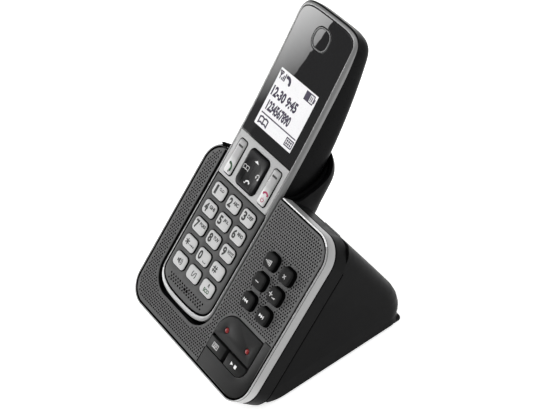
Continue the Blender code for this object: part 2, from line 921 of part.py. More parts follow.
def make_handset_case():
    solid, hollow = skin("shell")
    shell = to_object("handset_rear_shell", solid, "black")
    bay = rounded(-19.0, 19.0, -80, 22.3, (1, 1, 3.3, 3.3), 4)
    contacts = bmesh.new()
    for x in (-8.0, 8.0):
        add_box(contacts, x - 2.4, x + 2.4, -50, -44, -8.4, -5.4)
    cut(
        shell,
        hollow,
        plate("cut_battery_bay", [bay], -40, -9.3),
        to_object("cut_contact_windows", contacts),
    )
    solid, hollow = skin("cover")
    cover = to_object("battery_cover", solid, "black")
    lid = rounded(-18.7, 18.7, -80, 22.0, (1, 1, 3, 3), 4)
    cut(cover, hollow)
    modify(cover, plate("keep_battery_lid", [lid], -40, -9.6), "INTERSECT")

    block = bmesh.new()
    add_box(block, -11.0, 11.0, -44.8, -43.4, -8.6, -5.2)
    studs = bmesh.new()
    for x in (-8.0, 8.0):
        add_box(studs, x - 2.1, x + 2.1, -47.35, -44.0, -8.1, -5.7)
    join(
        to_object("handset_contact_block", block, "gold"),
        to_object("add_contact_studs", studs),
    )

    levels = (
        ((1.75, 3.4, 2.0), 0.1),
        ((1.1, 2.8, 1.3), 0.12),
        ((0.35, 0.7, 0.35), 0.8),
        ((0.0, 0.0, 0.0), 1.7),
        ((0.0, 0.0, 0.0), RIM_LOW),
        ((1.5, 1.6, 1.5), RIM_LOW),
    )
    loops = [full_loop(hand_plan(*moves), below_face(t)) for moves, t in levels]
    to_object("handset_rim", tube_rings(loops), "silver")


def face_plate(name, side, low, high, top, under, finish, chamfer=0.25):
    """A plate that follows the curve of the handset's face."""

    def plan(extra):
        ends = {}
        if low is not None:
            ends["low"] = low + extra
        if high is not None:
            ends["high"] = high - extra
        return hand_plan(side + extra, 3.7 + extra, 2.3 + extra, **ends)

    loops = [
        full_loop(plan(0.0), below_face(under)),
        full_loop(plan(0.0), below_face(top + chamfer)),
        full_loop(plan(chamfer), below_face(top)),
    ]
    return to_object(name, rings(loops, ladder=True), finish)


def key_places():
    for row, names in enumerate(KEY_NAMES):
        for column, name in enumerate(names):
            yield name, (column - 1) * KEY_PITCH_X, (1 - row) * KEY_PITCH_U


def make_handset_face():
    fascia = face_plate("keypad_fascia", 2.05, None, 16.7, 0.0, 1.5, "fascia")
    holes = bmesh.new()
    for _, x, u in key_places():
        w, h = KEY_W / 2 + 0.35, KEY_H / 2 + 0.35
        loop = rounded(x - w, x + w, u - h, u + h, KEY_R + 0.35)
        merge(holes, outline_mesh([loop], -4, 3))
    cut(fascia, to_object("cut_key_holes", holes))

    band = face_plate("control_band", 2.4, 17.0, 41.1, 0.0, 1.5, "silver")
    holes = bmesh.new()
    for x in (-LONG_X, LONG_X):
        w, h = LONG_W / 2 + 0.4, LONG_H / 2 + 0.4
        loop = rounded(x - w, x + w, LONG_U - h, LONG_U + h, 2.2)
        merge(holes, outline_mesh([loop], -5, 5))
    w, h = PAD_W / 2 + 0.4, PAD_H / 2 + 0.4
    merge(
        holes, outline_mesh([rounded(-w, w, PAD_U - h, PAD_U + h, 4.4, 4)], -5, 5)
    )
    cut(band, to_object("cut_control_holes", holes))

    window = face_plate("display_window", 2.05, 41.4, None, 0.0, 1.4, "gloss")
    oval = bmesh.new()
    merge(
        oval,
        outline_mesh([rounded(-6.4, 6.4, 93.95, 105.5, 5.0, 6)], -5, 12),
    )
    cut(window, to_object("cut_earpiece_hole", oval))

    # The earpiece's chrome ring with its floor: a shallow oval dish on the curved face.
    def oval_loop(move, depth):
        return [
            (x, u, face_n(u) - depth)
            for x, u in rounded(
                -6.1 + move,
                6.1 - move,
                94.25 + move,
                105.2 - move,
                4.7 - move,
                6,
            )
        ]

    dish = rings(
        [
            oval_loop(0, 1.4),
            oval_loop(0, 0.0),
            oval_loop(0.3, -0.25),
            oval_loop(0.8, -0.1),
            oval_loop(0.9, 0.35),
        ]
    )
    to_object("earpiece_ring", dish, "silver")


def make_keys():
    first = cap(
        "key_5", 0, 0, KEY_W, KEY_H, KEY_R, -1.7, 0.55, 0.85, 0.35, "key"
    )
    for name, x, u in key_places():
        if name != "key_5":
            place(name, first.data, "key", panel, (x, u, 0))

    for name, x in (("talk_key", -LONG_X), ("off_key", LONG_X)):
        w, h = LONG_W / 2, LONG_H / 2
        lift = face_n(LONG_U)
        side = rounded(x - w, x + w, LONG_U - h, LONG_U + h, 1.8)
        crown = rounded(x - w + 0.4, x + w - 0.4, LONG_U - h + 0.4, LONG_U + h - 0.4, 1.5)
        loops = [
            [(a, b, -1.3) for a, b in side],
            [(a, b, lift + 0.5) for a, b in side],
            [(a, b, lift + 0.8) for a, b in crown],
        ]
        to_object(name, rings(loops), "silver", panel, (x, LONG_U, -0.6))

    w, h = PAD_W / 2, PAD_H / 2
    lift = face_n(PAD_U)
    levels = (
        (0.0, 4.0, -1.2),
        (0.0, 4.0, lift + 0.5),
        (0.6, 3.4, lift + 0.9),
        (2.2, 2.4, lift + 0.35),
        (4.4, 1.6, lift + 0.1),
    )
    loops = [
        [(a, b, n) for a, b in rounded(-w + m, w - m, PAD_U - h + m, PAD_U + h - m, r, 4)]
        for m, r, n in levels
    ]
    to_object("navigation_pad", rings(loops), "gloss", panel, (0, PAD_U, -2.0))
    pivot = bmesh.new()
    add_turned(
        pivot,
        (0, PAD_U, 0),
        ((0, -2.6), (2.4, -2.6), (2.4, -2.2), (0.8, -1.6), (0, -1.5)),
        sides=12,
    )
    to_object("pad_pivot", pivot, "grey_part", panel, (0, PAD_U, -2.0))


def make_handset_insides():
    loop = rounded(-18.6, 18.6, -34.6, 39.6, 1.0, 2)
    mat_obj = plate("keypad_mat", [loop], -3.1, -2.5, "rubber")
    hole = bmesh.new()
    add_cylinder(hole, (0, PAD_U, 0), 3.2, -5, 0, sides=16)
    cut(mat_obj, to_object("cut_pivot_hole", hole))
    plate(
        "handset_circuit_board",
        [rounded(-18.6, 18.6, -42.0, 91.0, (8, 8, 3, 3), 3)],
        -4.4,
        -3.4,
        "board",
    )
    module = bmesh.new()
    add_box(module, -17.5, 17.5, -18, 18, -0.8, 0.8)
    tilt = math.atan(2 * 5.5e-4 * 52.0)
    bmesh.ops.rotate(
        module, verts=module.verts, cent=(0, 0, 0), matrix=Matrix.Rotation(tilt, 3, "X")
    )
    bmesh.ops.translate(module, verts=module.verts, vec=(0, 62.0, -1.2))
    to_object("display_module", module, "screen", panel, (0, 62.0, -1.2))

    ear = bmesh.new()
    add_turned(
        ear,
        (0, 100.2, 0),
        ((0, -1.4), (5.5, -1.4), (5.5, 0.2), (6.4, 1.2), (6.4, 2.0), (0, 2.0)),
        sides=20,
    )
    to_object("earpiece_speaker", ear, "grey_part")
    mic = bmesh.new()
    add_cylinder(mic, (0, -38.6, 0), 2.0, -3.1, -1.9, sides=16)
    to_object("handset_microphone", mic, "metal")
    cells = bmesh.new()
    for x in (-6.2, 6.2):
        add_turned(
            cells,
            (x, 0, -10.0),
            (
                (0, -27.8),
                (5.1, -27.8),
                (5.1, 15.4),
                (1.9, 15.6),
                (1.9, 16.7),
                (0, 16.7),
            ),
            axis="y",
            sides=20,
        )
    pack = bmesh.new()
    add_box(pack, -6.2, 6.2, -20.0, 8.0, -14.9, -5.1)
    join(to_object("battery_pack", pack, "cell"), to_object("add_cells", cells))


make_front_panel()
make_trim_band()
make_front_housing()
make_stand()
make_bottom_cover()
make_small_base_parts()
make_fascia_and_buttons()
make_cradle()
make_handset_case()
make_handset_face()
make_keys()
make_handset_insides()
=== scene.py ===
import math

import bmesh
import bpy
import numpy as np
from mathutils import Matrix, Vector
from mathutils.geometry import delaunay_2d_cdt


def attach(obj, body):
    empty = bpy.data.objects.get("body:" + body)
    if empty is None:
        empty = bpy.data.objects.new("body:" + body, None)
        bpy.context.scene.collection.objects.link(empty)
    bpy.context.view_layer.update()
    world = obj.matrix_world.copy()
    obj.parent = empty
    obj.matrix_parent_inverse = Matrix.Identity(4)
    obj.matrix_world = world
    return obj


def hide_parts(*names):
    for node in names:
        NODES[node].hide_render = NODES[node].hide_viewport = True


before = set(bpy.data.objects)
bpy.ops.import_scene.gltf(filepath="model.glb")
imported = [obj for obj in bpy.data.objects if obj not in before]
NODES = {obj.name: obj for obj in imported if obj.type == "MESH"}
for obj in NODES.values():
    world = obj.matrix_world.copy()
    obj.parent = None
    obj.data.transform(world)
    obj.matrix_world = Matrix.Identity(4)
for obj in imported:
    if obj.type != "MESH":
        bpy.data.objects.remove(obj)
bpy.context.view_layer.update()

# Looks of the cordless telephone. Lengths below are millimetres, in the panel's frame
# (x right, u up the panel, n out of it, from the middle key) or in the stand's level frame.

MM = 0.001
LEAN = math.radians(41.13)
PANEL_AT = (-0.0168, -0.02002, 0.05215)
LEVEL_AT = (-0.0168, -0.04775, 0.0016)
TURN = Matrix.Rotation(LEAN, 4, "X")
PANEL = Matrix.Translation(PANEL_AT) @ TURN @ Matrix.Scale(MM, 4)
LEVEL = Matrix.Translation(LEVEL_AT) @ Matrix.Scale(MM, 4)

BASE_X0, BASE_X1, BASE_U0, BASE_U1, BASE_R = -35.1, 68.7, -62.1, 29.5, 12.5
HAND_HALF = 23.2
HAND_BOTTOM = (-33.6, 14.0, 3.0)
HAND_TOP = (99.0, 14.2, 4.5)
KEY_PITCH_X, KEY_PITCH_U = 12.744, 9.956
GRILLE_AT, GRILLE_PITCH = (-32.2515, -58.029), (1.5675, 1.38)
KEY_NAMES = (
    ("key_1", "key_2", "key_3"),
    ("key_4", "key_5", "key_6"),
    ("key_7", "key_8", "key_9"),
    ("key_star", "key_0", "key_hash"),
    ("key_speaker", "key_clear", "key_eco"),
)
LONG_X, LONG_U, LONG_W, LONG_H = 15.0, 28.35, 5.9, 18.5
PAD_U, PAD_W, PAD_H = 28.5, 15.8, 18.4
BASE_BUTTONS = (
    ("locator_button", 40.6, 3.2),
    ("erase_button", 53.65, 3.2),
    ("volume_down_button", 40.6, -7.7),
    ("volume_up_button", 53.65, -7.7),
    ("skip_back_button", 40.6, -18.7),
    ("skip_forward_button", 53.65, -18.7),
)
SCREWS = ((-28.5, 58.0), (62.0, 58.0))
STAND_X0, STAND_X1 = -33.9, 67.5
STAND_REAR = (
    (0.0, 76.0),
    (3.3, 76.0),
    (5.2, 77.2),
    (8.1, 77.9),
    (13.4, 77.8),
    (18.8, 76.4),
    (34.5, 69.9),
    (53.9, 61.7),
    (58.6, 59.5),
)


def grey(level, warm=0.0):
    """A linear colour from an 8-bit display level."""
    c = level / 255.0
    v = c / 12.92 if c <= 0.04045 else ((c + 0.055) / 1.055) ** 2.4
    return (v * (1 + warm), v, v * (1 - warm), 1.0)


# ---------------------------------------------------------------- materials


class Look:
    """A procedural material on the object's own coordinates, which are the row frame's."""

    def __init__(self, name, level=False):
        self.material = bpy.data.materials.new(name)
        self.material.use_nodes = True
        self.tree = self.material.node_tree
        self.shader = self.tree.nodes["Principled BSDF"]
        place = self.node("ShaderNodeTexCoord")
        turn = self.node("ShaderNodeMapping")
        turn.vector_type = "TEXTURE"
        turn.inputs["Location"].default_value = LEVEL_AT if level else PANEL_AT
        turn.inputs["Rotation"].default_value = (0 if level else LEAN, 0, 0)
        turn.inputs["Scale"].default_value = (MM, MM, MM)
        self.link(place.outputs["Object"], turn.inputs["Vector"])
        self.place = turn.outputs["Vector"]

    def node(self, kind):
        return self.tree.nodes.new(kind)

    def link(self, a, b):
        self.tree.links.new(a, b)

    def set(self, **values):
        names = {
            "metal": "Metallic",
            "spec": "Specular IOR Level",
            "coat": "Coat Weight",
            "coat_rough": "Coat Roughness",
            "sheen": "Sheen Weight",
            "ior": "IOR",
        }
        for key, value in values.items():
            self.shader.inputs[names[key]].default_value = value
        return self

    def stretched(self, factors):
        scale = self.node("ShaderNodeVectorMath")
        scale.operation = "MULTIPLY"
        scale.inputs[1].default_value = factors
        self.link(self.place, scale.inputs[0])
        return scale.outputs["Vector"]

    def noise(self, scale, detail=2.0, stretch=None, rough=0.5):
        n = self.node("ShaderNodeTexNoise")
        n.inputs["Scale"].default_value = scale
        n.inputs["Detail"].default_value = detail
        n.inputs["Roughness"].default_value = rough
        self.link(self.stretched(stretch) if stretch else self.place, n.inputs["Vector"])
        return n.outputs["Fac"]

    def spread(self, value, low, high, a=0.3, b=0.7, smooth=False):
        m = self.node("ShaderNodeMapRange")
        if smooth:
            m.interpolation_type = "SMOOTHSTEP"
        m.inputs["From Min"].default_value = a
        m.inputs["From Max"].default_value = b
        m.inputs["To Min"].default_value = low
        m.inputs["To Max"].default_value = high
        self.link(value, m.inputs["Value"])
        return m.outputs["Result"]

    def along(self, axis):
        dot = self.node("ShaderNodeVectorMath")
        dot.operation = "DOT_PRODUCT"
        dot.inputs[1].default_value = axis
        self.link(self.place, dot.inputs[0])
        return dot.outputs["Value"]

    def math(self, operation, a, b):
        m = self.node("ShaderNodeMath")
        m.operation = operation
        for socket, value in zip(m.inputs, (a, b)):
            if isinstance(value, (int, float)):
                socket.default_value = value
            else:
                self.link(value, socket)
        return m.outputs[0]

    def mix(self, factor, a, b, blend="MIX"):
        m = self.node("ShaderNodeMix")
        m.data_type = "RGBA"
        m.blend_type = blend
        for socket, value in ((m.inputs[0], factor), (m.inputs[6], a), (m.inputs[7], b)):
            if isinstance(value, (int, float)):
                socket.default_value = value
            elif isinstance(value, tuple):
                socket.default_value = value
            else:
                self.link(value, socket)
        return m.outputs[2]

    def colour(self, value):
        socket = self.shader.inputs["Base Color"]
        if isinstance(value, tuple):
            socket.default_value = value
        else:
            self.link(value, socket)
        return self

    def rough(self, value):
        socket = self.shader.inputs["Roughness"]
        if isinstance(value, (int, float)):
            socket.default_value = value
        else:
            self.link(value, socket)
        return self

    def bump(self, height, depth_mm, strength=1.0):
        b = self.node("ShaderNodeBump")
        b.inputs["Strength"].default_value = strength
        b.inputs["Distance"].default_value = depth_mm * MM
        self.link(height, b.inputs["Height"])
        self.link(b.outputs["Normal"], self.shader.inputs["Normal"])
        return self


def scaled(colour, factor):
    return tuple(c * factor for c in colour[:3]) + (1.0,)


def plastic(
    name,
    colour,
    rough,
    grain=2.2,
    depth=0.012,
    tint=0.05,
    vary=0.05,
    spec=0.35,
    metal=0.0,
    coat=0.0,
    level=False,
    painted_light_fade=None,
    stretch=None,
):
    """Moulded or painted plastic: a fine grain, slow colour drift and handling polish.
    Painted light fade: a painted gradient of light and shade, as (axis, from, to, colour at the end)."""
    look = Look(name, level)
    look.set(spec=spec, metal=metal, coat=coat)
    body = colour
    # Painted light and shade: the colour turns into another one along an axis.
    if painted_light_fade:
        axis, start, end, other = painted_light_fade
        body = look.mix(look.spread(look.along(axis), 0, 1, start, end, True), colour, other)
    drift = look.spread(look.noise(0.09, 2.0), 0.0, 1.0)
    dark = look.mix(1.0, body, (1 - tint, 1 - tint, 1 - tint, 1), "MULTIPLY")
    light = look.mix(1.0, body, (1 + tint, 1 + tint, 1 + tint, 1), "MULTIPLY")
    base = look.mix(drift, dark, light)
    fine = look.noise(grain, 3.0, stretch)
    speck = look.spread(fine, 1 - tint * 0.6, 1 + tint * 0.6)
    look.colour(look.mix(1.0, base, speck, "MULTIPLY"))
    look.rough(look.spread(look.noise(0.35, 3.0, stretch), rough - vary, rough + vary))
    look.bump(fine, depth)
    return look.material


def metal_paint(
    name, colour, rough, stretch=None, metal=0.75, painted_light_fade=None, tint=0.04, spec=0.5, depth=0.003
):
    """Silver paint: fine flakes in a coat, or brushed where stretch is given; a painted light fade paints a gradient of
    light and shade on it.
    """
    look = Look(name)
    look.set(metal=metal, spec=spec)
    body = colour
    # Painted light and shade: the colour turns into another one along an axis.
    if painted_light_fade:
        axis, start, end, other = painted_light_fade
        body = look.mix(look.spread(look.along(axis), 0, 1, start, end, True), colour, other)
    fine = look.noise(3.2, 3.0, stretch, 0.6)
    speck = look.spread(fine, 1 - tint, 1 + tint)
    look.colour(look.mix(1.0, body, speck, "MULTIPLY"))
    look.rough(look.spread(look.noise(1.2, 2.0, stretch), rough - 0.05, rough + 0.07))
    look.bump(fine, depth)
    return look.material


def gloss(name, colour, rough=0.05, spec=0.5):
    """Polished plastic: nearly flat, with faint wipe marks and dust in its roughness."""
    look = Look(name)
    look.set(spec=spec)
    wipe = look.noise(0.5, 3.0, (1.0, 0.18, 1.0))
    look.colour(look.mix(look.spread(look.noise(6.0, 2.0), 0, 1, 0.62, 0.8), colour, scaled(colour, 1.35)))
    look.rough(look.spread(wipe, rough * 0.6, rough * 1.6))
    look.bump(look.noise(0.25, 1.0), 0.0006)
    return look.material


def glowing(name, colour, strength, tint=0.02):
    look = Look(name)
    dots = look.noise(2.4, 1.0)
    col = look.mix(look.spread(dots, 0, 1), scaled(colour, 1 - tint), scaled(colour, 1 + tint))
    look.colour(col)
    look.link(col, look.shader.inputs["Emission Color"])
    look.shader.inputs["Emission Strength"].default_value = strength
    look.set(spec=0.4)
    look.rough(look.spread(look.noise(1.5, 2.0), 0.25, 0.35))
    return look.material


def print_ink(name, colour, rough=0.5):
    look = Look(name)
    fine = look.noise(5.0, 2.0)
    look.colour(look.mix(look.spread(fine, 0, 1), scaled(colour, 0.9), scaled(colour, 1.1)))
    look.rough(look.spread(fine, rough - 0.05, rough + 0.05))
    look.set(spec=0.3)
    look.bump(fine, 0.004)
    return look.material


BLACK = (0.0036, 0.0036, 0.0038, 1)
M = {
    "black": plastic("black_satin_plastic", BLACK, 0.4, 1.6, 0.014, 0.12, 0.06, 0.055),
    "black_stand": plastic(
        "black_stand_plastic", BLACK, 0.4, 1.6, 0.016, 0.12, 0.06, 0.055, level=True
    ),
    "black_shell": plastic("black_handset_plastic", BLACK, 0.3, 1.8, 0.01, 0.12, 0.05, 0.045),
    # The grille is painted lighter towards the upper right: a painted gradient of light.
    "grille": plastic(
        "grey_grille_plastic", grey(84), 0.5, 2.6, 0.01, 0.04, 0.04, 0.08,
        painted_light_fade=((0.6, 0.8, 0), -50.0, 40.0, grey(94)),
    ),
    # Darker grey than the grille, and darker still towards the lower right corner: the gradient is painted shade.
    "zone": plastic(
        "grey_corner_plastic", grey(58), 0.42, 2.6, 0.008, 0.04, 0.04, 0.08,
        painted_light_fade=((0.8, -0.6, 0), 56.0, 82.0, grey(28)),
    ),
    # Near-black, inside the pits and on the walls of holes in the grille, the fascia and the control plate: painted
    # shade.
    "pit": plastic("grille_pit_painted_shade", grey(14), 0.8, 3.0, 0.005, 0.1, 0.03, 0.02),
    # The fascia is painted a little darker towards the top: painted shade.
    "fascia": plastic(
        "keypad_fascia_plastic", grey(78), 0.42, 3.0, 0.008, 0.03, 0.05, 0.1,
        painted_light_fade=((0.2, 1.0, 0), -40.0, 10.0, grey(73)),
    ),
    # The band's silver is painted lighter along the front side and darker above: painted light and shade.
    "band": metal_paint(
        "trim_band_silver", grey(176), 0.34, (1.0, 0.22, 1.0), 0.35,
        painted_light_fade=((0.0, 1.0, 0), -56.0, -40.0, grey(150)), tint=0.02, depth=0.0004, spec=0.25,
    ),
    # A brighter copy of the band's silver for the bead's top along the right of the top side: a painted highlight.
    "band_painted_highlight": metal_paint("trim_edge_painted_highlight", grey(232), 0.3, None, 0.2, tint=0.02, depth=0.0004),
    # The rim's silver is painted lighter at its foot and darker above: painted light and shade.
    "rim": metal_paint(
        "handset_rim_silver", grey(156), 0.34, (1.2, 0.3, 1.2), 0.5,
        painted_light_fade=((0.0, 1.0, 0), -42.0, -34.0, grey(122)), tint=0.02, depth=0.0003, spec=0.2,
    ),
    # The control band is painted darker towards the top right: painted shade.
    "control": metal_paint(
        "control_band_silver", grey(154), 0.42, None, 0.25,
        painted_light_fade=((0.5, 1.0, 0), 12.0, 42.0, grey(142)),
    ),
    # The long keys' silver is painted darker over their upper half: painted shade.
    "long_key": metal_paint(
        "long_key_silver", grey(180), 0.36, None, 0.15,
        painted_light_fade=((0.0, 1.0, 0), 24.5, 29.0, grey(142)),
    ),
    "chrome": metal_paint("earpiece_chrome", grey(118), 0.3, None, 0.5, depth=0.0005),
    "key": plastic("key_cap_grey", grey(184), 0.42, 3.2, 0.008, 0.025, 0.05, 0.18),
    # Near-black, on the lower sides of the keys: painted shade on their sides.
    "key_side_shade": plastic("key_side_painted_shade", grey(14), 0.7, 3.0, 0.01, 0.1, 0.05, 0.05),
    "window": gloss("window_gloss_black", (0.0095, 0.0095, 0.01, 1), 0.004),
    "pad": gloss("pad_gloss_black", (0.006, 0.006, 0.0064, 1), 0.3, 0.09),
    # The lamp tile is painted darker towards its lower right: painted shade.
    "tile": plastic(
        "lamp_tile_plastic", grey(33), 0.42, 2.8, 0.008, 0.05, 0.05, 0.08,
        painted_light_fade=((0.6, -0.8, 0), 46.0, 72.0, grey(28)),
    ),
    "dark_key": plastic("flat_key_plastic", grey(28), 0.42, 2.8, 0.008, 0.05, 0.05, 0.08),
    "rubber": plastic("button_rubber", grey(20), 0.5, 2.2, 0.014, 0.1, 0.06, 0.08),
    # A darker copy of the button rubber for the buttons' sides: painted shade.
    "rubber_side_shade": plastic("button_side_painted_shade", grey(8), 0.75, 2.2, 0.014, 0.1, 0.06, 0.02),
    # Near-black, in the band's groove and ledge, the rim's gap by the fascia and the tray skirt's step: painted shade.
    "seam": plastic("seam_painted_shade", grey(6), 0.85, 2.0, 0.01, 0.1, 0.05, 0.01),
    "foot": plastic("foot_rubber", grey(38), 0.85, 1.6, 0.03, 0.12, 0.06, 0.2, level=True),
    "ink": print_ink("ink_dark", grey(22)),
    "ink_grey": print_ink("ink_grey", grey(38)),
    "ink_light": print_ink("ink_light", grey(186)),
    "ink_white": print_ink("ink_white", grey(224)),
    "ink_green": print_ink("ink_green", (0.004, 0.05, 0.01, 1)),
    "ink_red": print_ink("ink_red", (0.33, 0.014, 0.075, 1)),
    "lcd_ink": print_ink("lcd_segment", (0.012, 0.004, 0.03, 1)),
    "lcd": glowing("lcd_backlight", (0.66, 0.655, 0.668, 1), 0.085),
    "lamp": glowing("lamp_red_lens", (0.19, 0.001, 0.002, 1), 0.03, 0.08),
    "screw": metal_paint("screw_steel", grey(150), 0.35, (1, 1, 0.3), 1.0),
    "gold": metal_paint("contact_gold", (0.72, 0.5, 0.2, 1), 0.25, None, 1.0),
    "board": plastic("circuit_board_green", (0.012, 0.09, 0.035, 1), 0.42, 0.8, 0.03, 0.25, 0.08),
    "cell": plastic("cell_wrap_green", (0.05, 0.17, 0.07, 1), 0.3, 0.4, 0.01, 0.15, 0.05),
    "inner": plastic("inner_grey_plastic", grey(110), 0.6, 1.2, 0.02, 0.1, 0.06),
    "mat": plastic("switch_mat_rubber", grey(44), 0.75, 1.2, 0.02, 0.12, 0.05, 0.2),
}


# ---------------------------------------------------------------- mesh tools


def piece(name, bm, materials, body, nodes=(), space=PANEL, sharp=32, smooth=True):
    """The bmesh, in millimetres of its space, as a piece that rides on a body."""
    bmesh.ops.recalc_face_normals(bm, faces=bm.faces)
    bm.transform(space)
    mesh = bpy.data.meshes.new(name)
    bm.to_mesh(mesh)
    bm.free()
    for key in materials if isinstance(materials, (list, tuple)) else [materials]:
        mesh.materials.append(M[key])
    obj = bpy.data.objects.new(name, mesh)
    bpy.context.scene.collection.objects.link(obj)
    if smooth:
        mesh.shade_smooth()
        mesh.set_sharp_from_angle(angle=math.radians(sharp))
    if body:
        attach(obj, body)
    if nodes:
        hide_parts(*([nodes] if isinstance(nodes, str) else nodes))
    return obj


def rounded(x0, x1, y0, y1, radius, steps=8):
    radii = radius if isinstance(radius, tuple) else (radius,) * 4
    corners = ((x0, y0, 180), (x1, y0, 270), (x1, y1, 0), (x0, y1, 90))
    points = []
    for (x, y, start), r in zip(corners, radii):
        r = max(r, 0.02)
        cx = x + r if x == x0 else x - r
        cy = y + r if y == y0 else y - r
        for k in range(steps + 1):
            angle = math.radians(start + 90 * k / steps)
            points.append((cx + r * math.cos(angle), cy + r * math.sin(angle)))
    return points


def grown(x0, x1, y0, y1, radius, steps=8):
    """A rounded rectangle as a function of how far it grows."""

    def at(d):
        radii = radius if isinstance(radius, tuple) else (radius,) * 4
        return rounded(
            x0 - d, x1 + d, y0 - d, y1 + d, tuple(max(0.05, r + d) for r in radii), steps
        )

    return at


def base_outline(inset=0.0, steps=16):
    return rounded(
        BASE_X0 + inset,
        BASE_X1 - inset,
        BASE_U0 + inset,
        BASE_U1 - inset,
        BASE_R - inset,
        steps,
    )


def circle(x, u, r, sides=32, start=0.0):
    return [
        (x + r * math.cos(start + 2 * math.pi * k / sides), u + r * math.sin(start + 2 * math.pi * k / sides))
        for k in range(sides)
    ]


def rings(loops, ladder=False, close=True):
    bm = bmesh.new()
    rows = [[bm.verts.new(point) for point in loop] for loop in loops]
    count = len(rows[0])
    for row, next_row in zip(rows, rows[1:]):
        for i in range(count):
            j = (i + 1) % count
            bm.faces.new((row[i], row[j], next_row[j], next_row[i]))
    for row in (rows[0], rows[-1]) if close else ():
        if ladder:
            for i in range(count // 2 - 1):
                bm.faces.new((row[i], row[i + 1], row[-2 - i], row[-1 - i]))
        else:
            bm.faces.new(row)
    return bm


def tube_rings(loops):
    bm = bmesh.new()
    rows = [[bm.verts.new(point) for point in loop] for loop in loops]
    count = len(rows[0])
    for row, next_row in zip(rows, rows[1:] + rows[:1]):
        for i in range(count):
            j = (i + 1) % count
            bm.faces.new((row[i], row[j], next_row[j], next_row[i]))
    return bm


def strip(loops):
    """A closed profile swept along an open path, with its two ends filled."""
    bm = bmesh.new()
    rows = [[bm.verts.new(point) for point in loop] for loop in loops]
    for row, next_row in zip(rows, rows[1:] + rows[:1]):
        for i in range(len(row) - 1):
            bm.faces.new((row[i], row[i + 1], next_row[i + 1], next_row[i]))
    bm.faces.new([row[0] for row in rows])
    bm.faces.new([row[-1] for row in rows])
    return bm


def stack(levels, outline):
    """Loops of an outline function at (inset, height) levels."""
    return [[(a, b, n) for a, b in outline(d)] for d, n in levels]


def turned(centre, profile, axis="z", sides=40):
    """A solid of revolution; the profile is (radius, place) pairs, from the axis back to it."""
    bm = bmesh.new()
    rows = []
    for r, z in profile:
        if r < 1e-6:
            rows.append([bm.verts.new((0, 0, z))])
        else:
            rows.append(
                [
                    bm.verts.new(
                        (r * math.cos(2 * math.pi * k / sides), r * math.sin(2 * math.pi * k / sides), z)
                    )
                    for k in range(sides)
                ]
            )
    for row, next_row in zip(rows, rows[1:]):
        for i in range(sides):
            j = (i + 1) % sides
            if len(row) == 1 and len(next_row) == 1:
                continue
            if len(row) == 1:
                bm.faces.new((row[0], next_row[i], next_row[j]))
            elif len(next_row) == 1:
                bm.faces.new((row[i], row[j], next_row[0]))
            else:
                bm.faces.new((row[i], row[j], next_row[j], next_row[i]))
    turn = {
        "z": Matrix.Identity(4),
        "y": Matrix.Rotation(-math.pi / 2, 4, "X"),
        "x": Matrix.Rotation(math.pi / 2, 4, "Y"),
    }[axis]
    bm.transform(Matrix.Translation(centre) @ turn)
    return bm


def boxes(*sizes):
    bm = bmesh.new()
    for x0, x1, y0, y1, z0, z1 in sizes:
        size = Matrix.Diagonal((x1 - x0, y1 - y0, z1 - z0, 1))
        middle = Matrix.Translation(((x0 + x1) / 2, (y0 + y1) / 2, (z0 + z1) / 2))
        bmesh.ops.create_cube(bm, size=1, matrix=middle @ size)
    return bm


def merged(*parts):
    bm = bmesh.new()
    for other in parts:
        mesh = bpy.data.meshes.new("merged")
        other.to_mesh(mesh)
        other.free()
        bm.from_mesh(mesh)
        bpy.data.meshes.remove(mesh)
    return bm


def prism(loop, low, high):
    return rings([[(a, b, low) for a, b in loop], [(a, b, high) for a, b in loop]])


def sideways(loop, low, high):
    """An outline of (u, n) pairs, extruded across x."""
    return rings([[(low, a, b) for a, b in loop], [(high, a, b) for a, b in loop]])


def within(loop, points):
    """Which points lie in a loop."""
    x, y = points[:, 0], points[:, 1]
    result = np.zeros(len(points), bool)
    ax, ay = loop[-1]
    for bx, by in loop:
        crosses = (ay > y) != (by > y)
        if ay != by:
            result ^= crosses & (x < (bx - ax) * (y - ay) / (by - ay) + ax)
        ax, ay = bx, by
    return result


def web(loops, pits=(), extra=()):
    """Triangles between loops: the first is the outline, the rest are holes, and pits are small
    convex loops whose inside is left out too. Returns places, triangles and each loop's indices."""
    coords, edges, owner, spans = [], [], [], []
    for k, loop in enumerate(list(loops) + list(pits)):
        first = len(coords)
        count = len(loop)
        coords += [Vector(p) for p in loop]
        owner += [k] * count
        edges += [(first + i, first + (i + 1) % count) for i in range(count)]
        spans.append((first, count))
    for p in extra:
        coords.append(Vector(p))
        owner.append(-1)
    out = delaunay_2d_cdt(coords, edges, [], 0, 1e-5, True)
    places, triangles, origins = out[0], out[2], out[3]
    index = {}
    who = []
    for j, sources in enumerate(origins):
        who.append(owner[sources[0]] if sources else -2)
        for s in sources:
            index[s] = j
    pts = np.array([(p[0], p[1]) for p in places])
    tri = np.array(triangles)
    mid = pts[tri].mean(1)
    keep = within(loops[0], mid)
    for loop in loops[1:]:
        keep &= ~within(loop, mid)
    who = np.array(who)
    own = who[tri]
    first_pit = len(loops)
    keep &= ~((own[:, 0] >= first_pit) & (own[:, 0] == own[:, 1]) & (own[:, 0] == own[:, 2]))
    found = [[index[first + i] for i in range(count)] for first, count in spans]
    return pts, tri[keep], found


def roll_steps(size, steps=3):
    """(inset, drop) pairs of a rolled edge, from the top face out to the side."""
    return [
        (size * (1 - math.sin(math.pi / 2 * k / steps)), size * (1 - math.cos(math.pi / 2 * k / steps)))
        for k in range(steps + 1)
    ]


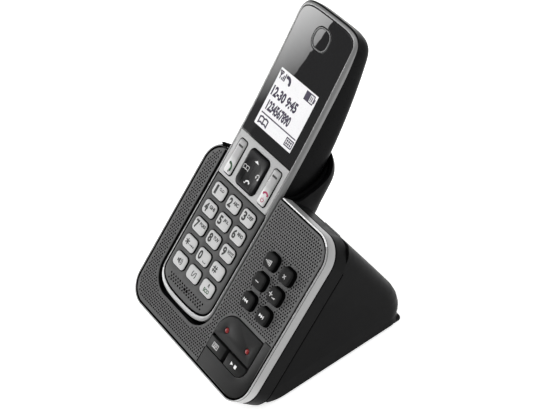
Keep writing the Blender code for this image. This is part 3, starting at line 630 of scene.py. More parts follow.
def plate(
    outer, holes, top, low, roll=0.25, pits=(), pit_depth=0.35, extra=(), zone=None, walls=None, rim=None
):
    """A flat plate with rolled edges, holes and pits. Material 0 is its body, 1 the faces that
    zone() names, 2 the pits, and walls the material index for the walls of its holes, where
    the near-black pit material goes as painted shade. Also returns how many
    of the first faces are its top."""
    bm = bmesh.new()
    outlines = [lambda d: outer(-d)] + [lambda d, h=h: h(d) for h in holes]
    first = [(1.8 * d, drop) for d, drop in roll_steps(rim, 4)] if rim else roll_steps(roll)
    edges = [first] + [roll_steps(roll)] * len(holes)
    tops = [f(edge[0][0]) for f, edge in zip(outlines, edges)]
    pts, tris, found = web(tops, pits, extra)
    verts = [bm.verts.new((x, u, top)) for x, u in pts]
    for a, b, c in tris:
        face = bm.faces.new((verts[a], verts[b], verts[c]))
        if zone:
            mx = (pts[a][0] + pts[b][0] + pts[c][0]) / 3
            mu = (pts[a][1] + pts[b][1] + pts[c][1]) / 3
            if zone(mx, mu):
                face.material_index = 1
    flat = len(bm.faces)
    ends = []
    for edge, f, indices in zip(edges, outlines, found):
        row = [verts[i] for i in indices]
        for d, drop in edge[1:] + [(0.0, top - low)]:
            new = [bm.verts.new((x, u, top - drop)) for x, u in f(d)]
            for i in range(len(row)):
                j = (i + 1) % len(row)
                face = bm.faces.new((row[i], row[j], new[j], new[i]))
                if walls is not None and drop > edge[-1][1] + 1e-6:
                    face.material_index = walls
                elif zone and zone(row[i].co.x, row[i].co.y):
                    face.material_index = 1
            row = new
        ends.append(row)
    for indices in found[len(outlines):]:
        row = [verts[i] for i in indices]
        middle = sum((v.co for v in row), Vector()) / len(row)
        new = [
            bm.verts.new(
                (middle.x + (v.co.x - middle.x) * 0.9, middle.y + (v.co.y - middle.y) * 0.9, top - pit_depth)
            )
            for v in row
        ]
        for i in range(len(row)):
            j = (i + 1) % len(row)
            bm.faces.new((row[i], row[j], new[j], new[i])).material_index = 2
        bm.faces.new(new).material_index = 2
    lows = [[(v.co.x, v.co.y) for v in row] for row in ends]
    pts, tris, found = web(lows)
    lookup = {}
    for row, indices in zip(ends, found):
        for v, i in zip(row, indices):
            lookup[i] = v
    for a, b, c in tris:
        if a in lookup and b in lookup and c in lookup:
            bm.faces.new((lookup[a], lookup[b], lookup[c]))
    bm.verts.ensure_lookup_table()
    loose = [v for v in bm.verts if not v.link_faces]
    bmesh.ops.delete(bm, geom=loose, context="VERTS")
    return bm, flat


def curve_up(bm):
    """Lifts a flat piece onto the curve of the handset's face."""
    for v in bm.verts:
        v.co.z += face_n(v.co.y)


def true_normals(obj, count):
    """Exact normals of the handset's curve for the first faces of a mesh, for clean reflections."""
    mesh = obj.data
    normals = [Vector(n.vector) for n in mesh.corner_normals]
    back = PANEL.inverted()
    spin = TURN.to_3x3()
    for polygon in mesh.polygons[:count]:
        for loop in polygon.loop_indices:
            u = (back @ mesh.vertices[mesh.loops[loop].vertex_index].co).y
            normals[loop] = (spin @ Vector((0, -face_slope(u), 1))).normalized()
    mesh.normals_split_custom_set(normals)


def carve(name, bm, steps, space=PANEL, solver="EXACT"):
    """The bmesh after boolean steps of (operation, other bmesh[, its space]), as a new bmesh in metres."""
    def temporary(label, data, where):
        bmesh.ops.recalc_face_normals(data, faces=data.faces)
        data.transform(where)
        mesh = bpy.data.meshes.new(label)
        data.to_mesh(mesh)
        data.free()
        obj = bpy.data.objects.new(label, mesh)
        bpy.context.scene.collection.objects.link(obj)
        return obj

    grow = Matrix.Scale(1000.0, 4)
    body = temporary(name, bm, grow @ space)
    made = [body]
    for k, step in enumerate(steps):
        where = step[2] if len(step) > 2 else PANEL
        other = temporary("%s_tool_%d" % (name, k), step[1], grow @ where)
        made.append(other)
        modifier = body.modifiers.new("step_%d" % k, "BOOLEAN")
        modifier.operation = step[0]
        modifier.object = other
        modifier.solver = solver
    bpy.context.view_layer.update()
    evaluated = body.evaluated_get(bpy.context.evaluated_depsgraph_get())
    mesh = bpy.data.meshes.new_from_object(evaluated)
    out = bmesh.new()
    out.from_mesh(mesh)
    bpy.data.meshes.remove(mesh)
    for obj in made:
        data = obj.data
        bpy.data.objects.remove(obj, do_unlink=True)
        bpy.data.meshes.remove(data)
    bmesh.ops.remove_doubles(out, verts=out.verts, dist=0.0008)
    bmesh.ops.dissolve_degenerate(out, edges=out.edges, dist=0.0005)
    open_edges = sum(1 for e in out.edges if len(e.link_faces) != 2)
    if open_edges:
        print("carve:", name, "has", open_edges, "open edges")
    out.transform(Matrix.Scale(0.001, 4))
    return out


ONE = Matrix.Identity(4)


def soften(obj, width, angle=40, segments=2):
    """Rounds a piece's sharp edges, keeping its flat faces flat to the light."""
    modifier = obj.modifiers.new("bevel", "BEVEL")
    modifier.width = width * MM
    modifier.segments = segments
    modifier.limit_method = "ANGLE"
    modifier.angle_limit = math.radians(angle)
    modifier.harden_normals = True
    return obj


# ---------------------------------------------------------------- curves of the handset


def face_n(s):
    return 5.5e-4 * max(0.0, s - 10.0) ** 2


def face_slope(s):
    return 1.1e-3 * max(0.0, s - 10.0)


def back_n(s):
    return -20.0 + 0.00199 * max(0.0, s - 25.0) ** 2 + 0.0034 * min(0.0, s) ** 2


def half_plan(half, low, high, pitch=3.0, fine=16):
    points = []
    if isinstance(low, tuple):
        start, reach, power = low
        for k in range(fine):
            angle = math.radians(88.6 * (1 - k / (fine - 1)))
            points.append(
                (
                    half * math.cos(angle) ** (2 / power),
                    start - reach * 0.9963 * math.sin(angle) ** (2 / power),
                )
            )
        bottom = start
    else:
        points.append((half, low))
        bottom = low
    top = high[0] if isinstance(high, tuple) else high
    count = max(1, int((top - bottom) / pitch))
    points += [(half, bottom + (top - bottom) * k / count) for k in range(1, count)]
    if isinstance(high, tuple):
        start, reach, power = high
        for k in range(fine + 2):
            angle = math.radians(88.6 * k / (fine + 1))
            points.append(
                (
                    half * math.cos(angle) ** (2 / power),
                    start + reach * 0.9963 * math.sin(angle) ** (2 / power),
                )
            )
    else:
        points.append((half, high))
    return points


def full_loop(points, height):
    right = [(w, s, height(w, s)) for w, s in points]
    return right + [(-w, s, h) for w, s, h in reversed(right)]


def hand_plan(side, bottom=None, top=None, low=None, high=None, pitch=3.0):
    bottom = side if bottom is None else bottom
    top = side if top is None else top
    s0, reach, power = HAND_BOTTOM
    low = (s0, reach - bottom, power) if low is None else low
    s1, reach, power = HAND_TOP
    high = (s1, reach - top, power) if high is None else high
    return half_plan(HAND_HALF - side, low, high, pitch)


def below_face(depth):
    return lambda w, s: face_n(s) - depth


def rim_depth(s, depth):
    """The rim's section: it thins towards the top end and falls a little at the foot."""
    if depth > 0.6:
        k = min(1.0, max(0.0, (s - 90.0) / 22.0))
        depth = 0.6 + (depth - 0.6) * (1.0 - 0.72 * k * k * (3 - 2 * k))
    return depth + 0.07 * max(0.0, -s - 44.6) * max(0.0, 1.0 - max(0.0, depth - 0.5) / 1.1)


def beside_window(s):
    """1 along the window and the control band, 0 along the keypad and round the top end."""
    a = min(1.0, max(0.0, (s - 15.4) / 2.4))
    b = min(1.0, max(0.0, (s - 100.0) / 16.0))
    return a * a * (3 - 2 * a) * (1 - 0.75 * b * b * (3 - 2 * b))


def below_rim(depth):
    return lambda w, s: face_n(s) - rim_depth(s, depth)


def above_back(height):
    return lambda w, s: back_n(s) + height


# ---------------------------------------------------------------- flat shapes for print


def rect(x0, x1, u0, u1):
    return [[(x0, u0), (x1, u0), (x1, u1), (x0, u1)]]


def stroke(points, width, closed=False):
    """A line with mitred corners, as quads."""
    count = len(points)
    sides = []
    for i in range(count):
        a = points[(i - 1) % count] if closed or i else None
        b = points[i]
        c = points[(i + 1) % count] if closed or i < count - 1 else None
        v1 = Vector((b[0] - a[0], b[1] - a[1])).normalized() if a else None
        v2 = Vector((c[0] - b[0], c[1] - b[1])).normalized() if c else None
        v1, v2 = v1 or v2, v2 or v1
        n1, n2 = Vector((-v1.y, v1.x)), Vector((-v2.y, v2.x))
        m = (n1 + n2).normalized() if (n1 + n2).length > 1e-6 else n1
        w = width / 2 / max(0.4, m.dot(n1))
        sides.append(((b[0] + m.x * w, b[1] + m.y * w), (b[0] - m.x * w, b[1] - m.y * w)))
    quads = []
    for i in range(count if closed else count - 1):
        p, q = sides[i], sides[(i + 1) % count]
        quads.append([p[1], q[1], q[0], p[0]])
    return quads


def arc(cx, cu, r, a0, a1, width, steps=12, squash=1.0):
    pts = [
        (
            cx + r * math.cos(math.radians(a0 + (a1 - a0) * k / steps)),
            cu + squash * r * math.sin(math.radians(a0 + (a1 - a0) * k / steps)),
        )
        for k in range(steps + 1)
    ]
    return stroke(pts, width)


def disc(x, u, r, sides=20):
    return [circle(x, u, r, sides)]


def ring_shape(x, u, r, width, sides=28):
    return stroke(circle(x, u, r, sides), width, True)


def moved(shapes, dx, du, scale=1.0, turn=0.0):
    c, s = math.cos(math.radians(turn)), math.sin(math.radians(turn))
    return [
        [(dx + scale * (c * x - s * u), du + scale * (s * x + c * u)) for x, u in shape]
        for shape in shapes
    ]


def handset_shape(size=1.0, turn=0.0, weight=0.92):
    """A generic receiver: a bowed grip with an ear end and a mouth end."""
    grip = arc(0, -1.2, 1.95, 35, 145, weight, 14)
    ends = [
        [(1.05, -0.75), (2.1, -0.75), (2.4, 0.3), (1.4, 0.6)],
        [(-2.1, -0.75), (-1.05, -0.75), (-1.4, 0.6), (-2.4, 0.3)],
    ]
    return moved(grip + ends, 0, 0, size, turn)


def book_shape(w, h, line):
    half = w / 2
    pts_left = [(0, -h * 0.42), (-half * 0.5, -h * 0.3), (-half, -h * 0.5), (-half, h * 0.36), (-half * 0.5, h * 0.5), (0, h * 0.36)]
    pts_right = [(-x, u) for x, u in pts_left]
    return stroke(pts_left, line, True) + stroke(pts_right, line, True)


LETTERS = {}


def lettering(body, size, bold=0.0, widen=1.0, align="CENTER"):
    """Generic digits and letters as flat triangles around the origin, centred on their box."""
    key = (body, size, bold, widen, align)
    if key in LETTERS:
        return LETTERS[key]
    curve = bpy.data.curves.new("letters", "FONT")
    curve.body = body
    curve.size = size
    curve.offset = bold
    curve.resolution_u = 3
    curve.fill_mode = "FRONT"
    guide = bpy.data.objects.new("letters", curve)
    bpy.context.scene.collection.objects.link(guide)
    bpy.context.view_layer.update()
    evaluated = guide.evaluated_get(bpy.context.evaluated_depsgraph_get())
    mesh = bpy.data.meshes.new_from_object(evaluated)
    pts = np.array([(v.co.x, v.co.y) for v in mesh.vertices])
    low, high = pts.min(0), pts.max(0)
    mid = (low + high) / 2
    if align == "LEFT":
        mid[0] = low[0]
    shapes = [
        [((pts[i][0] - mid[0]) * widen, pts[i][1] - mid[1]) for i in polygon.vertices]
        for polygon in mesh.polygons
    ]
    bpy.data.objects.remove(guide, do_unlink=True)
    bpy.data.curves.remove(curve)
    bpy.data.meshes.remove(mesh)
    LETTERS[key] = shapes
    return shapes


def sized_lettering(body, width, height, bold=0.0):
    """Lettering stretched to an exact box."""
    shapes = lettering(body, 1.0, bold)
    pts = np.array([p for s in shapes for p in s])
    span = pts.max(0) - pts.min(0)
    return [[(x * width / span[0], u * height / span[1]) for x, u in s] for s in shapes]


def print_on(name, shapes, height, material, body, thick=0.05, lift=0.012):
    """Thin raised print that follows the surface below it: height(x, u)."""
    bm = bmesh.new()
    for shape in shapes:
        area = sum(
            a[0] * b[1] - b[0] * a[1] for a, b in zip(shape, shape[1:] + shape[:1])
        )
        if abs(area) < 1e-7:
            continue
        ordered = shape if area > 0 else shape[::-1]
        bm.faces.new([bm.verts.new((x, u, 0)) for x, u in ordered])
    bmesh.ops.remove_doubles(bm, verts=bm.verts, dist=0.002)
    bmesh.ops.dissolve_degenerate(bm, edges=bm.edges, dist=0.001)
    bmesh.ops.subdivide_edges(
        bm, edges=[e for e in bm.edges if e.calc_length() > 1.4], cuts=2, use_grid_fill=True
    )
    tops = list(bm.faces)
    result = bmesh.ops.extrude_face_region(bm, geom=tops)
    lowered = [g for g in result["geom"] if isinstance(g, bmesh.types.BMVert)]
    low = set(lowered)
    for v in bm.verts:
        surface = height(v.co.x, v.co.y)
        v.co.z = surface + (lift if v not in low else lift - thick)
    return piece(name, bm, material, body, sharp=40)


# ---------------------------------------------------------------- the base's face


def distance(x, u, x0, x1, u0, u1, radii):
    """Signed distance outside a rounded rectangle (negative inside)."""
    cx, cu = (x0 + x1) / 2, (u0 + u1) / 2
    bl, br, tr, tl = radii if isinstance(radii, tuple) else (radii,) * 4
    r = (br if x > cx else bl) if u < cu else (tr if x > cx else tl)
    qx = abs(x - cx) - (x1 - x0) / 2 + r
    qu = abs(u - cu) - (u1 - u0) / 2 + r
    return min(max(qx, qu), 0.0) + math.hypot(max(qx, 0.0), max(qu, 0.0)) - r


LAMP_WELL = (30.0, 61.2, -51.0, -28.6, (0.5, 6.6, 0.5, 11.3))
MOUTH = (-24.4, 24.4, -49.0, 60.0, (12.6, 12.6, 1.0, 1.0))


def in_zone(x, u):
    """The smooth corner right of the groove and below the step."""
    return (x > 30.25 and u < -50.9) or (x > 61.1 and u < -27.35)


def make_grille():
    # The mouth runs out through the top side, so the outline goes round it.
    x0, x1, u0, u1 = BASE_X0 + 1.7, BASE_X1 - 1.7, BASE_U0 + 1.7, BASE_U1 - 1.7
    m0, m1, mu = MOUTH[0], MOUTH[1], MOUTH[2]
    r = BASE_R - 1.7

    def outline(d):
        """Grown by d, as one open-topped U. All its corners keep their count of points."""
        g = rounded(x0 - d, x1 + d, u0 - d, u1 + d, r + d, 16)
        k = 17
        mouth = rounded(m0 + d, m1 - d, mu + d, 60.0, (12.6 - d, 12.6 - d, 1.0, 1.0), 12)
        left, right = mouth[:13], mouth[13:26]
        notch = [(m1 - d, u1 + d)] + [*reversed(right)] + [*reversed(left)] + [(m0 + d, u1 + d)]
        return g[: 3 * k] + notch + g[3 * k :]

    holes = [
        grown(
            x - 4.3 - 0.4, x + 4.3 + 0.4, u - 3.9 - 0.4, u + 3.9 + 0.4, 2.8, 8
        )
        for _, x, u in BASE_BUTTONS
    ]
    holes.append(grown(*LAMP_WELL, 10))
    pits = []
    row = 0
    u = GRILLE_AT[1]
    while u < BASE_U1 - 3.2:
        x = GRILLE_AT[0] + GRILLE_PITCH[0] * (0.5 if row % 2 else 0.0)
        while x < BASE_X1 - 3.0:
            clear = (
                distance(x, u, x0, x1, u0, u1, r) < -1.25
                and distance(x, u, *MOUTH) > 1.15
                and distance(x, u, *LAMP_WELL) > 0.95
                and not (x > 29.2 and u < -50.2)
                and not (x > 60.2 and u < -26.4)
                and all(
                    distance(x, u, bx - 4.7, bx + 4.7, bu - 4.3, bu + 4.3, 3.4) > 0.9
                    for _, bx, bu in BASE_BUTTONS
                )
            )
            if clear:
                pits.append(circle(x, u, 0.49, 8, math.pi / 8))
            x += GRILLE_PITCH[0]
        u += GRILLE_PITCH[1]
        row += 1
    # The groove and the step are sunk as pits too, so the near-black pit material draws them as painted shade lines.
    pits.append([(29.7, -60.0), (30.3, -60.0), (30.3, -51.3), (29.7, -51.3)])
    pits.append([(61.5, -27.55), (66.35, -27.55), (66.35, -27.15), (61.5, -27.15)])
    # The pits' insides and the walls of the button and lamp holes take the near-black pit material: painted shade.
    bm, _ = plate(
        outline, holes, -0.1, -1.6, 0.22, pits=pits, pit_depth=0.8, zone=in_zone, walls=2
    )
    piece(
        "grille_plate", bm, ["grille", "zone", "pit"], "base", "front_panel", sharp=38
    )


def make_band():
    """The silver band: a broad wall, a fine groove and a bead over it, with a ledge inside. The groove, the ledge and
    the band's far left end take the near-black seam material as painted shade; the bead's top at the right of the top
    side takes a painted highlight.
    """
    levels = (
        (1.5, -5.65),
        (0.25, -5.65),
        (0.06, -5.58),
        (0.0, -5.4),
        (0.0, -0.86),
        (0.04, -0.68),
        (0.2, -0.62),
        (0.22, -0.42),
        (0.05, -0.36),
        (0.0, -0.2),
        (0.03, 0.0),
        (0.12, 0.14),
        (0.28, 0.22),
        (0.46, 0.22),
        (0.62, 0.14),
        (0.7, 0.0),
        (0.72, -0.12),
        (0.74, -1.4),
        (1.6, -1.45),
        (1.6, -1.9),
    )

    def path(inset):
        g = base_outline(inset, 20)
        k = 21
        return (
            [(-28.6, BASE_U1 - inset)] + g[3 * k :] + g[: 3 * k] + [(25.8, BASE_U1 - inset)]
        )

    bm = strip([[(x, u, n) for x, u in path(d)] for d, n in levels])
    for face in bm.faces:
        x, u, n = face.calc_center_median()
        inside = -distance(x, u, BASE_X0, BASE_X1, BASE_U0, BASE_U1, BASE_R)
        # The groove and the ledge inside take the near-black seam material: painted shade.
        if (inside > 0.05 and -0.66 < n < -0.39) or (inside > 0.71 and n < -0.05):
            face.material_index = 1
        # The bead's top at the right of the top side takes the brighter silver: a painted highlight.
        elif u > 26.5 and x > 0 and n > -0.3:
            face.material_index = 2
        # The band's far left end beside the tower is painted near-black too: painted shade.
        elif u > 28.0 and x < -23.4:
            face.material_index = 1
    piece("silver_band", bm, ["band", "seam", "band_painted_highlight"], "base", "trim_band", sharp=40)


def make_tray():
    """The black tray under the face: a deck with the flange round it."""
    bm = bmesh.new()
    x0, x1, u0, u1 = BASE_X0, BASE_X1, BASE_U0, BASE_U1

    def with_notch(inset, steps=16):
        g = rounded(x0 + inset, x1 - inset, u0 + inset, u1 - inset, BASE_R - inset, steps)
        k = steps + 1
        c = rounded(-25.8, 25.8, -56.4, 60, (13, 13, 1, 1), 12)
        left, right = c[:13], c[13:26]
        return (
            g[: 3 * k]
            + [(25.8, u1 - inset)]
            + [*reversed(right)]
            + [*reversed(left)]
            + [(-25.8, u1 - inset)]
            + g[3 * k :]
        )

    sound = circle(49.0, 16.2, 8.4, 40)

    def lay(inset, height, rows=None):
        loop = with_notch(inset)
        pts, tris, found = web([loop, sound])
        verts = {}
        for index_list, row in zip(found, rows or (None, None)):
            for i, j in enumerate(index_list):
                verts[j] = row[i] if row else bm.verts.new((*pts[j], height))
        for a, b, c in tris:
            if a in verts and b in verts and c in verts:
                bm.faces.new((verts[a], verts[b], verts[c]))
        return [[verts[j] for j in index_list] for index_list in found]

    def walk(row, loop, height):
        new = [bm.verts.new((x, u, height)) for x, u in loop]
        for i in range(len(row)):
            j = (i + 1) % len(row)
            bm.faces.new((row[i], row[j], new[j], new[i]))
        return new

    top, hole_top = lay(0.3, -6.1)
    row = top
    for d, n in ((0.09, -6.19), (0.0, -6.4), (0.0, -6.9), (0.0, -12.8), (0.0, -13.3), (2.2, -13.3)):
        row = walk(row, with_notch(d), n)
    row = walk(row, with_notch(2.2), -8.3)
    hole_low = walk(hole_top, sound, -8.3)
    lay(2.2, -8.3, (row, hole_low))
    piece("tray_flange", bm, "black", "base", "front_housing", sharp=38)

    # The tray's skirt hangs a little way down round the stand; its lowest step takes the near-black seam material as a
    # painted shadow line under it.
    levels = (
        (0.9, -13.28), (0.0, -13.28), (0.0, -13.4), (0.0, -13.68), (0.04, -13.76), (0.12, -13.79),
        (0.12, -14.7), (0.9, -14.7),
    )

    def path(inset):
        g = base_outline(inset, 20)
        return [g[-1]] + g[: 2 * 21 + 1]

    bm = strip([[(x, u, n) for x, u in path(d)] for d, n in levels])
    # Painted shadow line: the lowest step's faces take the seam material.
    for face in bm.faces:
        if len(face.verts) == 4 and face.calc_center_median().z < -13.77:
            face.material_index = 1
    piece("tray_skirt", bm, ["black", "seam"], "base", (), sharp=38)


def make_lamp_tile():
    x0, x1, u0, u1 = 30.4, 60.9, -42.9, -29.0
    radii = (0.6, 0.6, 0.6, 11.0)
    holes = [
        (lambda d, x=x: circle(x, -37.45, 1.5 + d, 32)) for x in (37.3, 55.0)
    ]
    bm, _ = plate(grown(x0, x1, u0, u1, radii, 12), holes, 0.25, -1.6, 0.25)
    piece("lamp_tile", bm, "tile", "base", "lamp_panel", sharp=38)
    parts = [boxes((36.0, 56.3, -38.6, -36.3, -3.2, -2.4))]
    for x in (37.3, 55.0):
        parts.append(
            turned(
                (x, -37.45, 0),
                (
                    (0, -2.8), (1.3, -2.8), (1.3, -0.05), (1.27, 0.1), (1.12, 0.28),
                    (0.85, 0.43), (0.45, 0.55), (0, 0.58),
                ),
                sides=32,
            )
        )
    piece("lamp_lenses", merged(*parts), "lamp", "base", "lamp_light_guide", sharp=50)


def cap_loops(x0, x1, u0, u1, r, levels, steps=8):
    """Loops of a button from its side up to its crown."""
    loops = []
    for d, n in levels:
        radii = r if isinstance(r, tuple) else (r,) * 4
        loops.append(
            [
                (a, b, n)
                for a, b in rounded(
                    x0 + d, x1 - d, u0 + d, u1 - d, tuple(max(0.12, q - d) for q in radii), steps
                )
            ]
        )
    return loops


def make_base_buttons():
    levels = (
        (0.0, -2.5), (0.0, 0.8), (0.0, 1.6), (0.04, 1.85), (0.16, 2.08), (0.36, 2.25), (0.62, 2.34),
        (1.0, 2.38), (1.8, 2.395), (2.8, 2.4),
    )
    for name, x, u in BASE_BUTTONS:
        bm = rings(cap_loops(x - 4.3, x + 4.3, u - 3.9, u + 3.9, 2.3, levels, 10))
        # The buttons' steep side faces take the darker side material: painted shade.
        for face in bm.faces:
            if face.calc_center_median().z < 1.95 and abs(face.normal.z) < 0.75:
                face.material_index = 1
        piece(name + "_cap", bm, ["rubber", "rubber_side_shade"], name, name, sharp=50)
    low = ((0.0, -2.5), (0.0, 0.15), (0.08, 0.3), (0.3, 0.4))
    bm = rings(cap_loops(30.6, 43.4, -50.3, -44.1, 0.6, low, 5))
    piece("message_button_cap", bm, "dark_key", "message_button", "message_button", sharp=50)
    low = ((0.0, -2.5), (0.0, 0.25), (0.08, 0.41), (0.3, 0.5))
    bm = rings(cap_loops(45.9, 60.7, -50.5, -44.0, (0.6, 5.6, 0.6, 0.6), low, 12))
    piece("play_stop_button_cap", bm, "dark_key", "play_stop_button", "play_stop_button", sharp=50)


def make_base_print():
    top = lambda x, u: 2.4
    light = "ink_light"
    fan = [[(-2.0, -0.25), (-1.5, -0.35), (-1.5, 0.35), (-2.0, 0.25)]]
    for r in (1.4, 2.3, 3.2, 4.1):
        fan += arc(-2.2, 0, r, -21 - 1.5 * (4.1 - r), 21 + 1.5 * (4.1 - r), 0.55)
    print_on("locator_icon", moved(fan, 40.2, 2.6), top, light, "locator_button")
    cross = stroke([(-0.85, -0.85), (0.85, 0.85)], 0.42) + stroke([(-0.85, 0.85), (-0.2, 0.2)], 0.42) + stroke([(0.2, -0.2), (0.85, -0.85)], 0.42)
    print_on("erase_icon", moved(cross, 53.4, 2.7), top, light, "erase_button")
    print_on("minus_icon", rect(38.9, 41.3, -8.55, -8.1), top, light, "volume_down_button")
    plus = rect(-1.25, 1.25, -0.24, 0.24) + rect(-0.24, 0.24, 0.24, 1.25) + rect(-0.24, 0.24, -1.25, -0.24)
    mark = [[(2.1, -0.85), (3.7, -0.25), (3.7, -0.85)], [(1.5, -0.85), (1.5, -1.15), (3.7, -1.15), (3.7, -0.85)]]
    print_on("plus_icon", moved(plus + mark, 51.5, -7.8), top, light, "volume_up_button")
    tri = [[(-0.1, 0), (1.35, -0.85), (1.35, 0.85)], [(1.35, 0), (2.8, -0.85), (2.8, 0.85)]]
    back = rect(-0.55, -0.2, -0.85, 0.85) + tri
    print_on("skip_back_icon", moved(back, 38.7, -19.0), top, "ink_white", "skip_back_button")
    print_on("skip_forward_icon", moved(back, 54.6, -19.0, 1.0, 180), top, "ink_white", "skip_forward_button")
    memo = (
        stroke([(-2.0, -1.15), (2.0, -1.15), (2.0, 1.15), (-2.0, 1.15)], 0.34, True)
        + rect(-1.4, 1.4, 0.35, 0.65) + rect(-1.4, 1.4, -0.3, 0.0) + rect(-1.4, 0.5, -0.9, -0.6)
    )
    print_on("memo_icon", moved(memo, 36.2, -47.2), lambda x, u: 0.4, light, "message_button")
    play = [[(-2.55, -0.9), (-0.75, 0.0), (-2.55, 0.9)]] + rect(0.35, 2.05, -0.85, 0.85)
    print_on("play_stop_icon", moved(play, 52.6, -47.1), lambda x, u: 0.5, "ink_white", "play_stop_button")


# ---------------------------------------------------------------- the stand


def seam_y(height, n=-13.6):
    b = n + 19.84
    a = (height - math.cos(LEAN) * b) / math.sin(LEAN)
    return math.cos(LEAN) * a - math.sin(LEAN) * b


def stand_rows(rows):
    """The rear wall's line, with rounded turns in place of its corners."""
    out = [rows[0]]
    for a, b, c in zip(rows, rows[1:], rows[2:]):
        for t in (0.75, 0.9):
            out.append(tuple(p + (q - p) * t for p, q in zip(a, b)))
        p = tuple(q + (r - q) * 0.12 for q, r in zip(b, a))
        s = tuple(q + (r - q) * 0.12 for q, r in zip(b, c))
        out.append(tuple((x + 2 * y + z) / 4 for x, y, z in zip(p, b, s)))
        out.append(s)
    out.append(rows[-1])
    heights = []
    clean = []
    for z, y in out:
        if not heights or z > heights[-1] + 0.05:
            heights.append(z)
            clean.append((z, y))
    return clean


def stand_loop(height, rear, inset, front, steps=10):
    depth = rear - front
    r = max(0.2, min(8.0 - inset, depth * 0.45))
    corners = rounded(
        STAND_X0 + inset, STAND_X1 - inset, front, rear, (0.1, 0.1, r, r), steps
    )
    return [(x, y, height) for x, y in corners]


def tower_flare(s, n):
    rise = min(1.0, max(0.0, (35.0 - s) / 6.0))
    depth = min(1.0, max(0.0, (-2.5 - n) / 9.0))
    behind = min(1.0, max(0.0, (n + 24.0) / 8.0))
    return 3.5 * rise * rise * depth * behind


def tower_rings(inset, levels, low):
    loops = []
    for move, n in levels:
        points = [
            (w + tower_flare(s, n), s)
            for w, s in half_plan(
                27.3 - inset - move, low, (42.0, 16.6 - inset - move, 2.6), 1.6, 18
            )
        ]
        loops.append(
            full_loop(points, lambda w, s, n=n: n + (0.06 * max(0, s - 30) if n < -15 else 0))
        )
    return rings(loops, ladder=True)


def lip_outline(drop, start, end, deep):
    points = [(29.2, 12.0), (29.2, -2.0 - drop)]
    for k in range(33):
        angle = math.radians(90 * k / 32)
        u = end - (end - start) * math.cos(angle) ** (2 / 1.8)
        n = -2.5 - drop - (deep - 2.5) * math.sin(angle) ** (2 / 1.8)
        points.append((u, n))
    points += [(80.0, -deep - drop), (80.0, 12.0)]
    return points


def make_stand():
    rows = stand_rows(STAND_REAR)
    body = rings([stand_loop(z, y, 0.0, min(seam_y(z), y - 18.0)) for z, y in rows])
    back = -25.3
    tower_levels = (
        (0, 0), (0, -4), (0, -8), (0, -11), (0, -14), (0, -16.6), (0, back + 6.4),
        (0.22, back + 4.9), (0.6, back + 3.6), (1.25, back + 2.3), (2.2, back + 1.2),
        (3.5, back + 0.35), (5, back),
    )
    inner_rows = [(-6.0, 74.0)] + [(z, y - 2.0) for z, y in STAND_REAR if 0 < z < 56]
    inner_rows.append((57.0, 58.2))
    hollow = rings([stand_loop(z, y, 2.0, seam_y(z) - 8.0, 5) for z, y in inner_rows])
    shaft = tower_rings(
        1.6,
        (
            (0, 6), (0, -8), (0, -14), (0, back + 7.2), (0.6, back + 4.6),
            (2.0, back + 2.4), (4.2, back + 1.6),
        ),
        6,
    )
    bosses = boxes(
        (-33.0, -24.5, 54.0, 62.0, 3.0, 13.0), (58.1, 66.6, 54.0, 62.0, 3.0, 13.0)
    )
    pilots = merged(
        *(
            turned((x, y, 0), ((0, -2), (1.4, -2), (1.4, 11.5), (0, 11.5)), sides=20)
            for x, y in SCREWS
        )
    )
    jacks = boxes((-17.2, -6.8, 60, 90, 5.2, 16.4), (3.8, 17.2, 60, 90, 5.2, 18.1))
    bm = carve(
        "stand_housing",
        body,
        [
            ("INTERSECT", prism(rounded(STAND_X0, STAND_X1, -60.9, 45, (11.3, 11.3, 1, 1), 16), -120, -13.6)),
            ("UNION", tower_rings(0.0, tower_levels, 12)),
            ("DIFFERENCE", hollow, LEVEL),
            ("DIFFERENCE", shaft),
            ("DIFFERENCE", sideways(lip_outline(1.6, 29.5, 58.0, 18.6), -45, 45)),
            ("DIFFERENCE", boxes((-60, 90, -90, 29.6, -13.55, 30))),
            ("UNION", bosses, LEVEL),
            ("DIFFERENCE", pilots, LEVEL),
            ("DIFFERENCE", jacks, LEVEL),
        ],
        LEVEL,
        "MANIFOLD",
    )
    obj = piece(
        "stand_housing", bm, "black_stand", "base", "rear_housing", ONE, sharp=28
    )
    soften(obj, 0.3, 38, 2)


